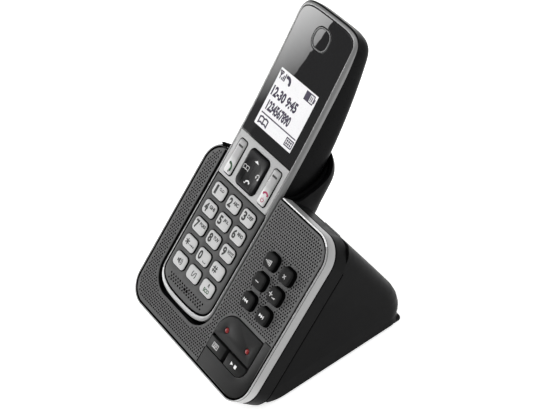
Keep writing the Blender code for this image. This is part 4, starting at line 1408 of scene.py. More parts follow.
def make_cradle():
    def floor_n(s):
        return (
            -20.5
            + 0.00199 * max(0.0, s - 25.0) ** 2
            + 0.0034 * min(0.0, s + 3.4) ** 2
        )

    def trough(move, top, deeper):
        start, reach, power = HAND_BOTTOM
        loops = []
        levels = (
            (0, None), (0, 7.0), (0, 5.0), (0.3, 3.6), (0.7, 2.6), (1.3, 1.6), (2.1, 0.9),
            (3.2, 0.35), (4.6, 0.0),
        )
        for inset, height in levels:
            points = half_plan(
                HAND_HALF + move - inset,
                (start, reach + 3.6 + move - inset, power),
                66.0 if top > 0 else (42.0, 12.7 + move - inset, 2.6),
                2.0,
                16,
            )
            if height is None:
                loops.append(full_loop(points, lambda w, s: top))
            else:
                loops.append(
                    full_loop(
                        points, lambda w, s, h=height: min(floor_n(s) - deeper + h, top - 0.5)
                    )
                )
        return rings(loops, ladder=True)

    pins = []
    for x in (-8.0, 8.0):
        pins.append(
            turned((x, 0, -6.4), ((0, -60.0), (2.4, -60.0), (2.4, -50.2), (1.5, -50.2), (1.5, -45.0), (0, -45.0)), "y", 28)
        )
    bm = carve(
        "cradle_trough",
        trough(2.2, -1.9, 1.4),
        [
            ("DIFFERENCE", trough(1.0, 4.0, 0.0)),
            ("UNION", prism(rounded(-19.0, 19.0, -51.8, -48.4, 0.3, 2), -9.2, -2.2)),
            ("UNION", boxes((-28.3, -24.6, 27.2, 28.7, -5.9, -0.2))),
            ("DIFFERENCE", sideways(lip_outline(0.0, 29.5, 58.0, 18.6), -45, 45)),
            ("DIFFERENCE", merged(*pins)),
        ],
    )
    obj = piece("cradle_trough", bm, "black", "base", "cradle_liner", ONE, sharp=30)
    soften(obj, 0.2, 40, 2)
    for name, x in (("charge_pin_left", -8.0), ("charge_pin_right", 8.0)):
        bm = turned(
            (x, 0, -6.4),
            (
                (0, -54.6), (1.1, -54.6), (1.1, -51.4), (2.0, -51.4), (2.0, -50.6), (1.1, -50.6),
                (1.1, -48.5), (1.0, -48.2), (0.7, -48.04), (0, -48.0),
            ),
            "y",
            28,
        )
        piece(name + "_plunger", bm, "gold", name, name, sharp=35)


def make_underside():
    x0, x1 = STAND_X0 + 2.3, STAND_X1 - 2.3
    heads = merged(
        *(
            turned((x, y, 0), ((0, -3), (3.0, -3), (3.0, 1.5), (1.4, 1.5), (1.4, 4), (0, 4)), sides=32)
            for x, y in SCREWS
        )
    )
    vents = boxes(*[(x, x + 1.4, 22.0, 34.0, -1.0, 0.9) for x in range(2, 33, 3)])
    bm = carve(
        "base_cover",
        prism(rounded(x0, x1, -6.2, 73.6, (4, 4, 5.6, 5.6), 10), 0.3, 2.3),
        [
            ("INTERSECT", prism(rounded(x0, x1, -58.6, 60, (9, 9, 1, 1), 12), -130, 0)),
            ("DIFFERENCE", heads, LEVEL),
            ("DIFFERENCE", vents, LEVEL),
        ],
        LEVEL,
    )
    obj = piece("base_cover", bm, "black_stand", "base", "bottom_cover", ONE, sharp=30)
    soften(obj, 0.18, 40, 2)
    for name, (x, y) in zip(("case_screw_left", "case_screw_right"), SCREWS):
        head = turned(
            (x, y, 0),
            (
                (0, 0.4), (2.2, 0.4), (2.5, 0.55), (2.6, 0.8), (2.6, 1.2), (1.1, 1.2), (1.1, 2.0),
                (0.8, 2.4), (1.1, 2.8), (0.8, 3.3), (1.1, 3.8), (0.8, 4.3), (1.1, 4.8), (0.8, 5.3),
                (1.1, 5.8), (0.8, 6.3), (1.1, 6.8), (0.8, 7.3), (1.1, 7.8), (0.7, 9.6), (0, 10.8),
            ),
            sides=28,
        )
        quarter = [(0.3, 0.3), (0.3, 1.5), (-0.3, 1.5)]
        cross = []
        for _ in range(4):
            cross += [(x + a, y + b) for a, b in quarter]
            quarter = [(-b, a) for a, b in quarter]
        slots = prism(cross, 0.0, 0.9)
        bm = carve(name, head, [("DIFFERENCE", slots, LEVEL)], LEVEL)
        piece(name + "_head", bm, "screw", "base", name, ONE, sharp=30)
    for name, a0, a1, b0, b1 in (
        ("rear_foot_strip", -32.7, 66.3, 69.4, 75.4),
        ("front_foot_strip", -24.0, 57.6, 1.0, 7.0),
    ):
        levels = ((0.7, -1.6), (0.35, -1.55), (0.1, -1.35), (0.0, -1.05), (0.0, -0.3))
        bm = rings(cap_loops(a0, a1, b0, b1, 2.0, levels, 8))
        piece(name + "_rubber", bm, "foot", "base", name, LEVEL, sharp=40)
    bm = carve(
        "line_socket_body",
        boxes((4.1, 16.9, 61.0, 77.4, 5.5, 17.8)),
        [
            ("DIFFERENCE", boxes((5.6, 15.4, 66.0, 80, 7.6, 14.4)), LEVEL),
            ("DIFFERENCE", boxes((7.4, 13.6, 66.01, 80, 14.0, 16.2)), LEVEL),
        ],
        LEVEL,
    )
    obj = piece("line_socket_body", bm, "inner", "base", "line_jack", ONE, sharp=30)
    soften(obj, 0.15, 40, 2)
    wires = []
    for k in range(4):
        x = 8.2 + 1.5 * k
        wires.append(boxes((x - 0.22, x + 0.22, 68.0, 76.4, 8.3, 8.7)))
    piece("line_socket_wires", merged(*wires), "gold", "base", (), LEVEL)
    bm = carve(
        "power_socket_body",
        boxes((-16.9, -7.1, 64.0, 77.4, 5.5, 16.1)),
        [
            (
                "DIFFERENCE",
                turned((-12, 0, 10.8), ((0, 68.0), (2.85, 68.0), (2.85, 90.0), (0, 90.0)), "y", 32),
                LEVEL,
            )
        ],
        LEVEL,
    )
    obj = piece("power_socket_body", bm, "black_stand", "base", "power_jack", ONE, sharp=30)
    soften(obj, 0.15, 40, 2)
    pin = turned((-12, 0, 10.8), ((0, 67.9), (0.9, 67.9), (0.9, 75.6), (0.6, 76.1), (0, 76.2)), "y", 20)
    piece("power_socket_pin", pin, "gold", "base", (), LEVEL)


# ---------------------------------------------------------------- the handset


def skin():
    t = 1.6
    outer = [
        full_loop(hand_plan(0.3, 0.3, 1.1), below_rim(2.72)),
        full_loop(hand_plan(0.06, 0.06, 0.3), below_rim(2.8)),
        full_loop(hand_plan(0.0), below_rim(3.1)),
        full_loop(hand_plan(0.05), above_back(6.4)),
        full_loop(hand_plan(0.15), above_back(4.6)),
        full_loop(hand_plan(0.42), above_back(3.35)),
        full_loop(hand_plan(0.8), above_back(2.4)),
        full_loop(hand_plan(1.42), above_back(1.55)),
        full_loop(hand_plan(2.2), above_back(0.9)),
        full_loop(hand_plan(3.3), above_back(0.36)),
        full_loop(hand_plan(4.8), above_back(0.02)),
        full_loop(hand_plan(6.4), above_back(0.0)),
    ]
    inner = [
        full_loop(hand_plan(t), below_face(0.6)),
        full_loop(hand_plan(t + 0.1), above_back(t + 3.4)),
        full_loop(hand_plan(t + 0.7), above_back(t + 1.7)),
        full_loop(hand_plan(t + 1.9), above_back(t + 0.5)),
        full_loop(hand_plan(t + 3.8), above_back(t)),
    ]
    return rings(outer, ladder=True), rings(inner, ladder=True)


def make_handset_case():
    solid, hollow = skin()
    bay = prism(rounded(-19.0, 19.0, -80, 22.3, (1, 1, 3.3, 3.3), 10), -40, -9.3)
    windows = boxes(*[(x - 2.4, x + 2.4, -50, -44, -8.4, -5.4) for x in (-8.0, 8.0)])
    slots = boxes(*[(-6.0 + 3.0 * k, -4.8 + 3.0 * k, 58.0, 70.0, -30.0, back_n(64.0) + 0.7) for k in range(5)])
    bm = carve(
        "handset_back",
        solid,
        [("DIFFERENCE", hollow), ("DIFFERENCE", bay), ("DIFFERENCE", windows), ("DIFFERENCE", slots)],
    )
    obj = piece("handset_back", bm, "black_shell", "handset", "handset_rear_shell", ONE, sharp=30)
    soften(obj, 0.12, 45, 2)

    solid, hollow = skin()
    lid = prism(rounded(-18.7, 18.7, -80, 22.0, (1, 1, 3, 3), 10), -40, -9.6)
    grips = boxes(*[(-7.0 + 0.8 * abs(k - 2), 7.0 - 0.8 * abs(k - 2), 8.0 + 1.7 * k, 8.7 + 1.7 * k, -30.0, -19.55) for k in range(5)])
    bm = carve(
        "battery_lid", solid, [("DIFFERENCE", hollow), ("INTERSECT", lid), ("DIFFERENCE", grips)]
    )
    obj = piece("battery_lid", bm, "black_shell", "battery_cover", "battery_cover", ONE, sharp=30)
    soften(obj, 0.12, 45, 2)

    studs = boxes((-11.0, 11.0, -44.8, -43.4, -8.6, -5.2))
    bm = carve(
        "contact_studs",
        studs,
        [("UNION", boxes(*[(x - 2.1, x + 2.1, -47.35, -44.0, -8.1, -5.7) for x in (-8.0, 8.0)]))],
    )
    obj = piece("contact_studs", bm, "gold", "handset", "handset_contact_block", ONE)
    soften(obj, 0.2, 40, 2)

    # Moves in the plan (side, foot, top), depth, and how far the row rises and widens above
    # the keypad, where the rim is flush with the window.
    levels = (
        ((2.75, 4.3, 3.2), 1.56, 0.0, 0.0),
        ((1.42, 2.85, 2.5), 1.54, 0.0, 0.6),
        ((1.34, 2.78, 2.42), 0.66, 0.5, 0.62),
        ((1.25, 2.66, 2.34), 0.54, 0.46, 0.66),
        ((1.12, 2.48, 2.22), 0.49, 0.45, 0.62),
        ((0.86, 1.8, 1.6), 0.5, 0.38, 0.42),
        ((0.58, 1.1, 1.3), 0.54, 0.26, 0.2),
        ((0.34, 0.52, 1.08), 0.64, 0.1, 0.08),
        ((0.14, 0.2, 0.95), 0.84, 0.0, 0.0),
        ((0.03, 0.05, 0.91), 1.15, 0.0, 0.0),
        ((0.0, 0.0, 0.9), 1.6, 0.0, 0.0),
        ((0.0, 0.0, 0.9), 2.45, 0.0, 0.0),
        ((0.12, 0.12, 1.0), 2.6, 0.0, 0.0),
        ((2.7, 4.2, 3.1), 2.6, 0.0, 0.0),
    )
    loops = []
    for moves, t, rise, widen in levels:
        points = [(w - widen * beside_window(s), s) for w, s in hand_plan(*moves, pitch=2.0)]
        base = below_rim(t)
        loops.append(
            full_loop(points, lambda w, s, base=base, rise=rise: base(w, s) + rise * beside_window(s))
        )
    bm = tube_rings(loops)
    bm.faces.ensure_lookup_table()
    count = len(loops[0])
    # The rim's underside and its inner wall down into the gap by the fascia take the near-black seam material: painted
    # shade.
    for k, face in enumerate(bm.faces):
        if k // count in (0, 1, 2, len(levels) - 1, len(levels) - 2):
            face.material_index = 1
    piece("rim_band", bm, ["rim", "seam"], "handset", "handset_rim", sharp=36)


def plan_outline(side, low, high):
    """The outline of a face plate as a function of how far it grows, in the plan."""

    def at(d):
        ends = {}
        if low is not None:
            ends["low"] = low - d
        if high is not None:
            ends["high"] = high + d
        right = hand_plan(side - d, 3.7 - d, 2.7 - d, pitch=2.5, **ends)
        return right + [(-w, s) for w, s in reversed(right)]

    return at


def grid(x0, x1, u0, u1, step):
    points = []
    nu = max(2, int((u1 - u0) / step))
    nx = max(2, int((x1 - x0) / (step * 2)))
    for i in range(nu + 1):
        for j in range(nx + 1):
            points.append((x0 + (x1 - x0) * (j + 0.5 * (i % 2)) / (nx + 0.5), u0 + (u1 - u0) * i / nu))
    return points


def key_places():
    for row, names in enumerate(KEY_NAMES):
        for column, name in enumerate(names):
            yield name, (column - 1) * KEY_PITCH_X, (1 - row) * KEY_PITCH_U


def make_face():
    holes = [
        grown(x - 5.45, x + 5.45, u - 4.05, u + 4.05, 2.55, 8) for _, x, u in key_places()
    ]
    pits = []
    for k, (u, first, count) in enumerate(((-37.6, -14.6, 15), (-39.02, -13.5, 14), (-40.42, -14.6, 15))):
        for i in range(count):
            x = first + 2.09 * i
            if k == 1 and i in (6, 7):
                pits.append(circle(x, u, 0.82, 14))
            else:
                pits.append(circle(x, u, 0.55, 10))
    # The fascia's pits and the walls of its key holes take the near-black pit material: painted shade.
    bm, flat = plate(plan_outline(2.25, None, 16.4), holes, 0.0, -1.5, 0.2, pits=pits, pit_depth=0.8, walls=2, rim=0.5)
    curve_up(bm)
    obj = piece("fascia_plate", bm, ["fascia", "fascia", "pit"], "handset", "keypad_fascia", sharp=40)

    long_hole = lambda x: grown(
        x - LONG_W / 2 - 0.5, x + LONG_W / 2 + 0.5, LONG_U - LONG_H / 2 - 0.5, LONG_U + LONG_H / 2 + 0.5, 1.8, 8
    )
    pad_hole = grown(-8.6, 8.6, PAD_U - 9.9, PAD_U + 9.9, 3.2, 10)
    extra = [
        p for p in grid(-20.0, 20.0, 17.6, 40.5, 2.2)
        if distance(p[0], p[1], -9.0, 9.0, PAD_U - 10.3, PAD_U + 10.3, 3.6) > 0.3
        and distance(p[0], p[1], -18.9, -11.1, 18.1, 38.6, 2.8) > 0.3
        and distance(p[0], p[1], 11.1, 18.9, 18.1, 38.6, 2.8) > 0.3
    ]
    # The walls of the control plate's holes take the near-black pit material: painted shade.
    bm, flat = plate(
        plan_outline(2.15, 17.0, 41.1), [long_hole(-LONG_X), long_hole(LONG_X), pad_hole], 0.0, -1.5, 0.12, extra=extra, walls=1
    )
    curve_up(bm)
    obj = piece("control_plate", bm, ["control", "pit"], "handset", "control_band", sharp=40)
    true_normals(obj, flat)

    extra = [
        p for p in grid(-19.5, 19.5, 42.5, 109.5, 2.0)
        if distance(p[0], p[1], -7.2, 7.2, 93.2, 106.4, 5.8) > 0.3
        and abs(p[0]) < 20.4 * (1 - max(0.0, (p[1] - 100) / 13.0) ** 4.0)
    ]
    oval = grown(-6.4, 6.4, 93.95, 105.5, 5.0, 12)
    bm, flat = plate(plan_outline(2.05, 41.4, None), [oval], 0.0, -1.4, 0.22, extra=extra)
    curve_up(bm)
    obj = piece("window_lens", bm, "window", "handset", "display_window", sharp=40)
    true_normals(obj, flat)

    def oval_loop(move, depth):
        return [
            (x, u, face_n(u) - depth)
            for x, u in rounded(-6.1 + move, 6.1 - move, 94.25 + move, 105.2 - move, 4.7 - move, 14)
        ]

    bead = [
        oval_loop(0.05, 1.4), oval_loop(0.05, 0.1), oval_loop(0.1, -0.06), oval_loop(0.2, -0.16),
        oval_loop(0.34, -0.2), oval_loop(0.48, -0.16), oval_loop(0.58, -0.05), oval_loop(0.62, 0.1),
        oval_loop(0.64, 0.3), oval_loop(0.7, 1.4),
    ]
    piece("earpiece_bead", tube_rings(bead), "chrome", "handset", "earpiece_ring", sharp=50)
    bm, flat = plate(
        grown(-5.35, 5.35, 95.0, 104.45, 3.95, 14), [], -0.3, -1.35, 0.08,
        extra=grid(-3.6, 3.6, 96.5, 103.0, 1.6),
    )
    curve_up(bm)
    obj = piece("earpiece_floor", bm, "window", "handset", (), sharp=40)
    true_normals(obj, flat)


def key_top(x, u):
    """Height of a key's crown at a place relative to its middle."""
    edge = min(5.1 - abs(x), 3.7 - abs(u))
    return 0.85 + 0.09 * (1 - max(0.0, 1 - edge / 3.2) ** 2)


def make_keys():
    levels = (
        (0.0, -1.7), (0.0, 0.12), (0.04, 0.34), (0.13, 0.54), (0.3, 0.7), (0.54, 0.8), (0.86, 0.866),
        (1.4, 0.905), (2.2, 0.93), (3.2, 0.94),
    )
    for name, x, u in key_places():
        bm = rings(cap_loops(x - 5.1, x + 5.1, u - 3.7, u + 3.7, 2.2, levels, 8))
        # The lower faces of the key's sides take the near-black side material: painted shade.
        for face in bm.faces:
            if face.calc_center_median().z < 0.56:
                face.material_index = 1
        piece(name + "_cap", bm, ["key", "key_side_shade"], name, name, sharp=50)

    for name, x in (("talk_key", -LONG_X), ("off_key", LONG_X)):
        lift = 0.185
        levels = (
            (0.0, -1.3), (0.0, lift + 0.1), (0.03, lift + 0.35), (0.14, lift + 0.55), (0.36, lift + 0.68),
            (0.7, lift + 0.74), (1.3, lift + 0.78), (2.2, lift + 0.8),
        )
        bm = rings(
            cap_loops(x - LONG_W / 2, x + LONG_W / 2, LONG_U - LONG_H / 2, LONG_U + LONG_H / 2, 1.35, levels, 8)
        )
        # The lower faces of the key's sides take the near-black side material: painted shade.
        for face in bm.faces:
            if face.calc_center_median().z < lift + 0.42:
                face.material_index = 1
        piece(name + "_cap", bm, ["long_key", "key_side_shade"], name, name, sharp=50)

    w, h = PAD_W / 2, PAD_H / 2
    lift = 0.19
    loops = []
    for d, n in (
        (0.0, -1.2), (0.0, lift + 0.2), (0.04, lift + 0.5), (0.2, lift + 0.74), (0.5, lift + 0.87), (0.95, lift + 0.9),
    ):
        loops.append([(a, b, n) for a, b in rounded(-w + d, w - d, PAD_U - h + d, PAD_U + h - d, 2.6 - d * 0.9, 9)])
    count = len(loops[0])
    for r, n in ((6.9, 0.86), (6.5, 0.78), (6.0, 0.72), (4.8, 0.62), (3.4, 0.55), (2.0, 0.51), (0.8, 0.5)):
        loops.append(
            [
                (
                    r * math.cos(math.radians(180 + (i + 0.5) * 360 / count)),
                    PAD_U + r * math.sin(math.radians(180 + (i + 0.5) * 360 / count)),
                    lift + n,
                )
                for i in range(count)
            ]
        )
    piece("navigation_rocker", rings(loops), "pad", "navigation_pad", "navigation_pad", sharp=60)


def make_key_print():
    letters = {
        "key_2": "ABC", "key_3": "DEF", "key_4": "GHI", "key_5": "JKL", "key_6": "MNO",
        "key_7": "PQRS", "key_8": "TUV", "key_9": "WXYZ",
    }
    for name, x, u in key_places():
        height = lambda a, b, x=x, u=u: key_top(a - x, b - u)
        tail = name[4:]
        if tail.isdigit():
            shapes = sized_lettering(tail, 1.65 if tail == "1" else 2.75, 4.8, 0.045)
            print_on(name + "_digit", moved(shapes, x - 2.3, u), height, "ink", name)
        if name in letters:
            wide = min(1.42 * len(letters[name]), 4.75)
            shapes = sized_lettering(letters[name], wide, 1.95, 0.05)
            print_on(name + "_letters", moved(shapes, x - 0.3 + wide / 2, u + 1.25), height, "ink_grey", name)
        elif name == "key_1":
            reel = (
                ring_shape(-1.05, 0.0, 0.6, 0.36, 16) + ring_shape(1.05, 0.0, 0.6, 0.36, 16) + rect(-1.05, 1.05, -0.78, -0.44)
            )
            print_on(name + "_mark", moved(reel, x + 1.6, u + 1.4), height, "ink_grey", name)
        elif name == "key_0":
            space = stroke([(-1.05, 0.35), (-1.05, -0.3), (1.05, -0.3), (1.05, 0.35)], 0.36)
            print_on(name + "_mark", moved(space, x + 2.3, u - 1.6), height, "ink", name)
        elif name == "key_star":
            star = []
            for k in range(3):
                a = math.radians(90 + 60 * k)
                star += stroke([(-1.75 * math.cos(a), -1.75 * math.sin(a)), (1.75 * math.cos(a), 1.75 * math.sin(a))], 0.64)
            print_on(name + "_sign", moved(star[:1], x - 1.8, u + 0.1), height, "ink", name)
            for k in (1, 2):
                print_on(name + "_sign_arm%d" % k, moved(star[k : k + 1], x - 1.8, u + 0.1), height, "ink", name, lift=0.012 + 0.004 * k)
            tone = rect(0.2, 1.5, -0.7, -0.2) + disc(2.1, -0.42, 0.5, 12) + disc(3.3, -0.42, 0.5, 12)
            print_on(name + "_mark", moved(tone, x + 0.3, u), height, "ink_grey", name)
        elif name == "key_hash":
            for k, shape in enumerate(
                (
                    stroke([(-0.95, -1.8), (-0.4, 1.8)], 0.6),
                    stroke([(0.45, -1.8), (1.0, 1.8)], 0.6),
                    rect(-1.75, 1.7, 0.4, 0.98),
                    rect(-1.7, 1.75, -0.98, -0.4),
                )
            ):
                print_on(name + "_sign%d" % k, moved(shape, x - 1.7, u), height, "ink", name, lift=0.012 + 0.003 * k)
        elif name == "key_speaker":
            cone = [
                [(-1.5, -0.6), (-0.8, -0.6), (-0.8, 0.6), (-1.5, 0.6)],
                [(-0.7, -0.6), (0.25, -1.35), (0.25, 1.35), (-0.7, 0.6)],
            ]
            waves = arc(-0.2, 0, 1.15, -50, 50, 0.36) + arc(-0.2, 0, 1.85, -50, 50, 0.36)
            print_on(name + "_icon", moved(cone + waves, x + 0.1, u, 1.25), height, "ink_grey", name)
        elif name == "key_clear":
            curve = arc(1.6, 0, 3.1, 150, 210, 0.52) + arc(-1.6, 0, 3.1, -30, 30, 0.52)
            print_on(name + "_icon", moved(curve, x + 0.6, u + 0.2), height, "ink_grey", name)
            print_on(name + "_slash", moved(stroke([(-0.6, -1.25), (0.6, 1.25)], 0.5), x + 0.6, u + 0.2), height, "ink_grey", name)
        elif name == "key_eco":
            print_on(name + "_r", moved(sized_lettering("R", 1.4, 1.8, 0.05), x + 0.6, u + 1.75), height, "ink_grey", name)
            print_on(name + "_word", moved(sized_lettering("ECO", 4.5, 2.1, 0.05), x + 0.4, u - 1.15), height, "ink_green", name)

    key_height = lambda a, b: 0.185 + 0.8
    for name, x in (("talk_key", -LONG_X), ("off_key", LONG_X)):
        print_on(name + "_dash", rect(x - 1.8, x + 1.8, 33.8, 34.85), key_height, "ink", name)
    print_on("talk_key_icon", moved(handset_shape(1.1, -58, 1.15), -14.6, 23.3), key_height, "ink_green", "talk_key")
    print_on("talk_key_dot", moved(ring_shape(0, 0, 0.42, 0.3, 12), -14.3, 20.7), key_height, "ink", "talk_key")
    print_on("off_key_icon", moved(handset_shape(0.95, 0, 1.05), 15.4, 25.1), key_height, "ink_red", "off_key")
    power = arc(0, 0, 1.0, 125, 415, 0.38, 20) + rect(-0.19, 0.19, 0.2, 1.35)
    print_on("off_key_power", moved(power, 15.3, 21.8), key_height, "ink_red", "off_key")

    def pad_height(x, u):
        r = math.hypot(x, u - PAD_U)
        table = ((0.0, 0.5), (2.0, 0.51), (3.4, 0.55), (4.8, 0.62), (6.0, 0.72), (6.5, 0.78), (6.9, 0.86), (12.0, 0.9))
        for (r0, n0), (r1, n1) in zip(table, table[1:]):
            if r <= r1:
                return 0.19 + n0 + (n1 - n0) * (r - r0) / (r1 - r0)
        return 1.09

    print_on("pad_up_icon", [[(-1.7, 33.2), (1.7, 33.2), (0.0, 34.5)]], pad_height, "ink_white", "navigation_pad")
    print_on("pad_book_icon", moved(book_shape(4.0, 2.3, 0.34), -4.75, 28.3), pad_height, "ink_light", "navigation_pad")
    again = arc(0, 0, 1.15, -60, 200, 0.42, 16) + [[(-1.75, -0.2), (-0.45, -0.2), (-1.1, -1.2)]]
    print_on("pad_right_icon", moved(again + disc(0.9, -0.9, 0.55, 12), 5.2, 28.3), pad_height, "ink_light", "navigation_pad")
    print_on("pad_down_icon", moved(handset_shape(0.72, 0), 0.9, 23.2), pad_height, "ink_white", "navigation_pad")
    print_on("pad_down_arrow", [[(-1.5, 22.4), (-0.1, 22.4), (-0.8, 21.5)]], pad_height, "ink_white", "navigation_pad")


def make_lcd():
    """The lit display with its generic contents, just proud of the window."""
    x0, x1, u0, u1 = -15.5, 15.5, 47.66, 77.6
    bm = bmesh.new()
    rows = 16
    columns = 2
    grid_v = [
        [bm.verts.new((x0 + (x1 - x0) * j / columns, u0 + (u1 - u0) * i / rows, 0)) for j in range(columns + 1)]
        for i in range(rows + 1)
    ]
    for i in range(rows):
        for j in range(columns):
            bm.faces.new((grid_v[i][j], grid_v[i][j + 1], grid_v[i + 1][j + 1], grid_v[i + 1][j]))
    result = bmesh.ops.extrude_face_region(bm, geom=list(bm.faces))
    lowered = {g for g in result["geom"] if isinstance(g, bmesh.types.BMVert)}
    for v in bm.verts:
        v.co.z = face_n(v.co.y) + (0.03 if v not in lowered else -0.05)
    piece("lcd_screen", bm, "lcd", "handset", (), sharp=40)

    height = lambda x, u: face_n(u) + 0.03
    ink = lambda name, shapes: print_on(name, shapes, height, "lcd_ink", "handset")
    aerial = (
        rect(-14.05, -13.4, 72.4, 75.9)
        + stroke([(-15.1, 76.2), (-13.9, 74.5)], 0.62)
        + stroke([(-12.35, 76.2), (-13.55, 74.5)], 0.62)
        + rect(-15.2, -12.25, 75.95, 76.55)
        + rect(-12.7, -11.95, 72.4, 73.7) + rect(-11.65, -10.9, 72.4, 75.0)
    )
    ink("lcd_signal", aerial)
    ink("lcd_bar", rect(-10.6, -9.85, 72.4, 76.3))
    ink("lcd_call", moved(handset_shape(1.2, -40, 1.35), -7.2, 74.2))
    battery = (
        rect(6.7, 13.9, 72.2, 72.8) + rect(6.7, 13.9, 76.2, 76.8) + rect(6.7, 7.3, 72.8, 76.2) + rect(13.3, 13.9, 72.8, 76.2)
        + rect(7.3, 10.5, 72.8, 76.2) + rect(10.95, 11.5, 73.2, 75.8) + rect(12.0, 12.6, 73.2, 75.8) + rect(13.95, 14.6, 73.4, 75.5)
    )
    ink("lcd_battery", battery)
    ink("lcd_clock", moved(sized_lettering("12-30 9:45", 20.8, 5.4, 0.05), -4.1, 66.0))
    ink("lcd_number", moved(sized_lettering("1234567890", 19.4, 5.5, 0.05), -3.5, 58.8))
    ink("lcd_rule", rect(-14.3, 14.9, 53.95, 54.6))
    ink("lcd_book", moved(book_shape(6.5, 3.5, 0.85), -10.1, 50.9))
    menu = stroke([(9.2, 49.2), (14.6, 49.2), (14.6, 52.8), (9.2, 52.8)], 0.62, True)
    for i in range(3):
        for j in range(2):
            menu += rect(9.85 + 1.42 * i, 10.95 + 1.42 * i, 49.8 + 1.35 * j, 50.8 + 1.35 * j)
    ink("lcd_menu", menu)


# ---------------------------------------------------------------- carried-over nodes


def dress(node, look):
    """A node that stays gets its finish through its object's slots."""
    obj = NODES[node]
    if not obj.material_slots:
        return
    for slot in obj.material_slots:
        slot.link = "OBJECT"
        slot.material = M[look]


for node, look in (
    ("base_main_board", "board"),
    ("base_button_mat", "mat"),
    ("base_speaker", "inner"),
    ("pad_pivot", "inner"),
    ("keypad_mat", "mat"),
    ("handset_circuit_board", "board"),
    ("display_module", "lcd"),
    ("earpiece_speaker", "inner"),
    ("handset_microphone", "screw"),
    ("battery_pack", "cell"),
):
    dress(node, look)

make_grille()
make_band()
make_tray()
make_lamp_tile()
make_base_buttons()
make_base_print()
make_stand()
make_cradle()
make_underside()
make_handset_case()
make_face()
make_keys()
make_key_print()
make_lcd()


# ---------------------------------------------------------------- floor, light and camera


def make_floor():
    bm = bmesh.new()
    bmesh.ops.create_grid(bm, x_segments=8, y_segments=8, size=4.0)
    mesh = bpy.data.meshes.new("studio_floor")
    bm.to_mesh(mesh)
    bm.free()
    floor = bpy.data.objects.new("studio_floor", mesh)
    floor.location = (0, 0, -0.00006)
    bpy.context.scene.collection.objects.link(floor)
    look = Look("floor_white_paper", True)
    fine = look.noise(0.02, 2.0)
    look.colour(look.mix(look.spread(fine, 0, 1), (0.93, 0.93, 0.93, 1), (0.95, 0.95, 0.95, 1)))
    look.rough(0.9)
    look.set(spec=0.1)
    look.shader.inputs["Emission Color"].default_value = (1, 1, 1, 1)
    look.shader.inputs["Emission Strength"].default_value = 0.65
    mesh.materials.append(look.material)


make_floor()

RIGHT = Vector((0.536, 0.4855, -0.6906))
DOWN = Vector((0.506, -0.8396, -0.1975))
AHEAD = Vector((-0.6757, -0.2436, -0.6957))
EYE = Vector((568.5, 219.7, 565.1))


def make_camera():
    data = bpy.data.cameras.new("camera")
    data.sensor_width = 36
    data.lens = 116.79
    data.clip_start = 0.01
    camera = bpy.data.objects.new("camera", data)
    bpy.context.scene.collection.objects.link(camera)
    turn = Matrix((RIGHT, -DOWN, -AHEAD)).transposed()
    camera.matrix_world = Matrix.Translation(PANEL @ EYE) @ (TURN.to_3x3() @ turn).to_4x4()
    bpy.context.scene.camera = camera


make_camera()


def mirrored(x, u):
    """Where the handset's face at a place mirrors the camera's line of sight to."""
    at = Vector((x, u, face_n(u)))
    sight = (at - EYE).normalized()
    normal = Vector((0, -face_slope(u), 1)).normalized()
    out = sight - 2 * sight.dot(normal) * normal
    return (TURN.to_3x3() @ out).normalized()


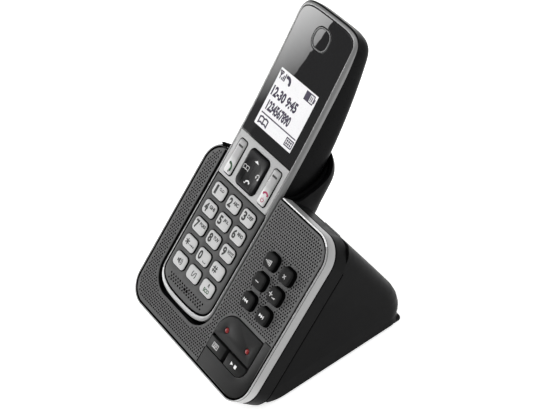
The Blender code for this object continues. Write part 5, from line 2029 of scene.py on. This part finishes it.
def make_world():
    world = bpy.data.worlds.new("studio")
    bpy.context.scene.world = world
    world.use_nodes = True
    tree = world.node_tree
    background = tree.nodes["Background"]
    coords = tree.nodes.new("ShaderNodeTexCoord")

    def dot(vector):
        n = tree.nodes.new("ShaderNodeVectorMath")
        n.operation = "DOT_PRODUCT"
        n.inputs[1].default_value = vector
        tree.links.new(coords.outputs["Generated"], n.inputs[0])
        return n.outputs["Value"]

    def ramp(value, a, b, low, high, smooth=True):
        n = tree.nodes.new("ShaderNodeMapRange")
        if smooth:
            n.interpolation_type = "SMOOTHSTEP"
        n.inputs["From Min"].default_value = a
        n.inputs["From Max"].default_value = b
        n.inputs["To Min"].default_value = low
        n.inputs["To Max"].default_value = high
        tree.links.new(value, n.inputs["Value"])
        return n.outputs["Result"]

    def calc(operation, a, b):
        n = tree.nodes.new("ShaderNodeMath")
        n.operation = operation
        for socket, value in zip(n.inputs, (a, b)):
            if isinstance(value, (int, float)):
                socket.default_value = value
            else:
                tree.links.new(value, socket)
        return n.outputs[0]

    # A pale room, dim low down at the front left, with one softbox there whose straight
    # edge is what the glossy window mirrors.
    room = ramp(dot((0, 0, 1)), -0.1, 0.9, 0.72, 0.82)
    dim_towards = mirrored(0, 75)
    dim = ramp(dot(dim_towards), math.cos(math.radians(50)), math.cos(math.radians(14)), 1.0, 0.3)
    low_down = ramp(dot((0, 0, 1)), 0.1, 0.24, 1.0, 0.0)
    dim = calc("MAXIMUM", dim, low_down)
    room = calc("MULTIPLY", room, dim)
    one, two = mirrored(1.98, 110.54), mirrored(-5.59, 79.01)
    edge = one.cross(two).normalized()
    if edge.dot(mirrored(-18, 95)) < 0:
        edge = -edge
    side = ramp(dot(edge), -0.0001, 0.0001, 0.0, 1.0, False)
    middle = mirrored(-24, 96)
    area = ramp(dot(middle), math.cos(math.radians(26)), math.cos(math.radians(13)), 0.0, 1.0)
    axis = (mirrored(-20, 110) - mirrored(-20, 50)).normalized()
    low, high = mirrored(-20, 55).dot(axis), mirrored(-16, 110).dot(axis)
    power = ramp(dot(axis), low, high, 0.2, 10.0, False)
    box = calc("MULTIPLY", calc("MULTIPLY", side, area), power)
    rear = ramp(dot(Vector((0.2, 0.94, 0.08)).normalized()), math.cos(math.radians(38)), math.cos(math.radians(14)), 0.0, 0.15)
    total = calc("ADD", calc("ADD", room, rear), box)
    tree.links.new(total, background.inputs["Strength"])
    background.inputs["Color"].default_value = (1, 1, 1, 1)


make_world()


def area_light(name, at, towards, size, power):
    data = bpy.data.lights.new(name, "AREA")
    data.shape = "RECTANGLE"
    data.size, data.size_y = size
    data.energy = power
    light = bpy.data.objects.new(name, data)
    bpy.context.scene.collection.objects.link(light)
    light.location = at
    light.rotation_euler = (Vector(towards) - Vector(at)).to_track_quat("-Z", "Y").to_euler()
    return light


area_light("key_light", (-0.5, -0.35, 1.3), (0, 0, 0.05), (0.9, 0.7), 4.5)

bpy.context.scene.view_settings.view_transform = "Standard"
bpy.context.scene.view_settings.look = "None"

bpy.context.view_layer.update()
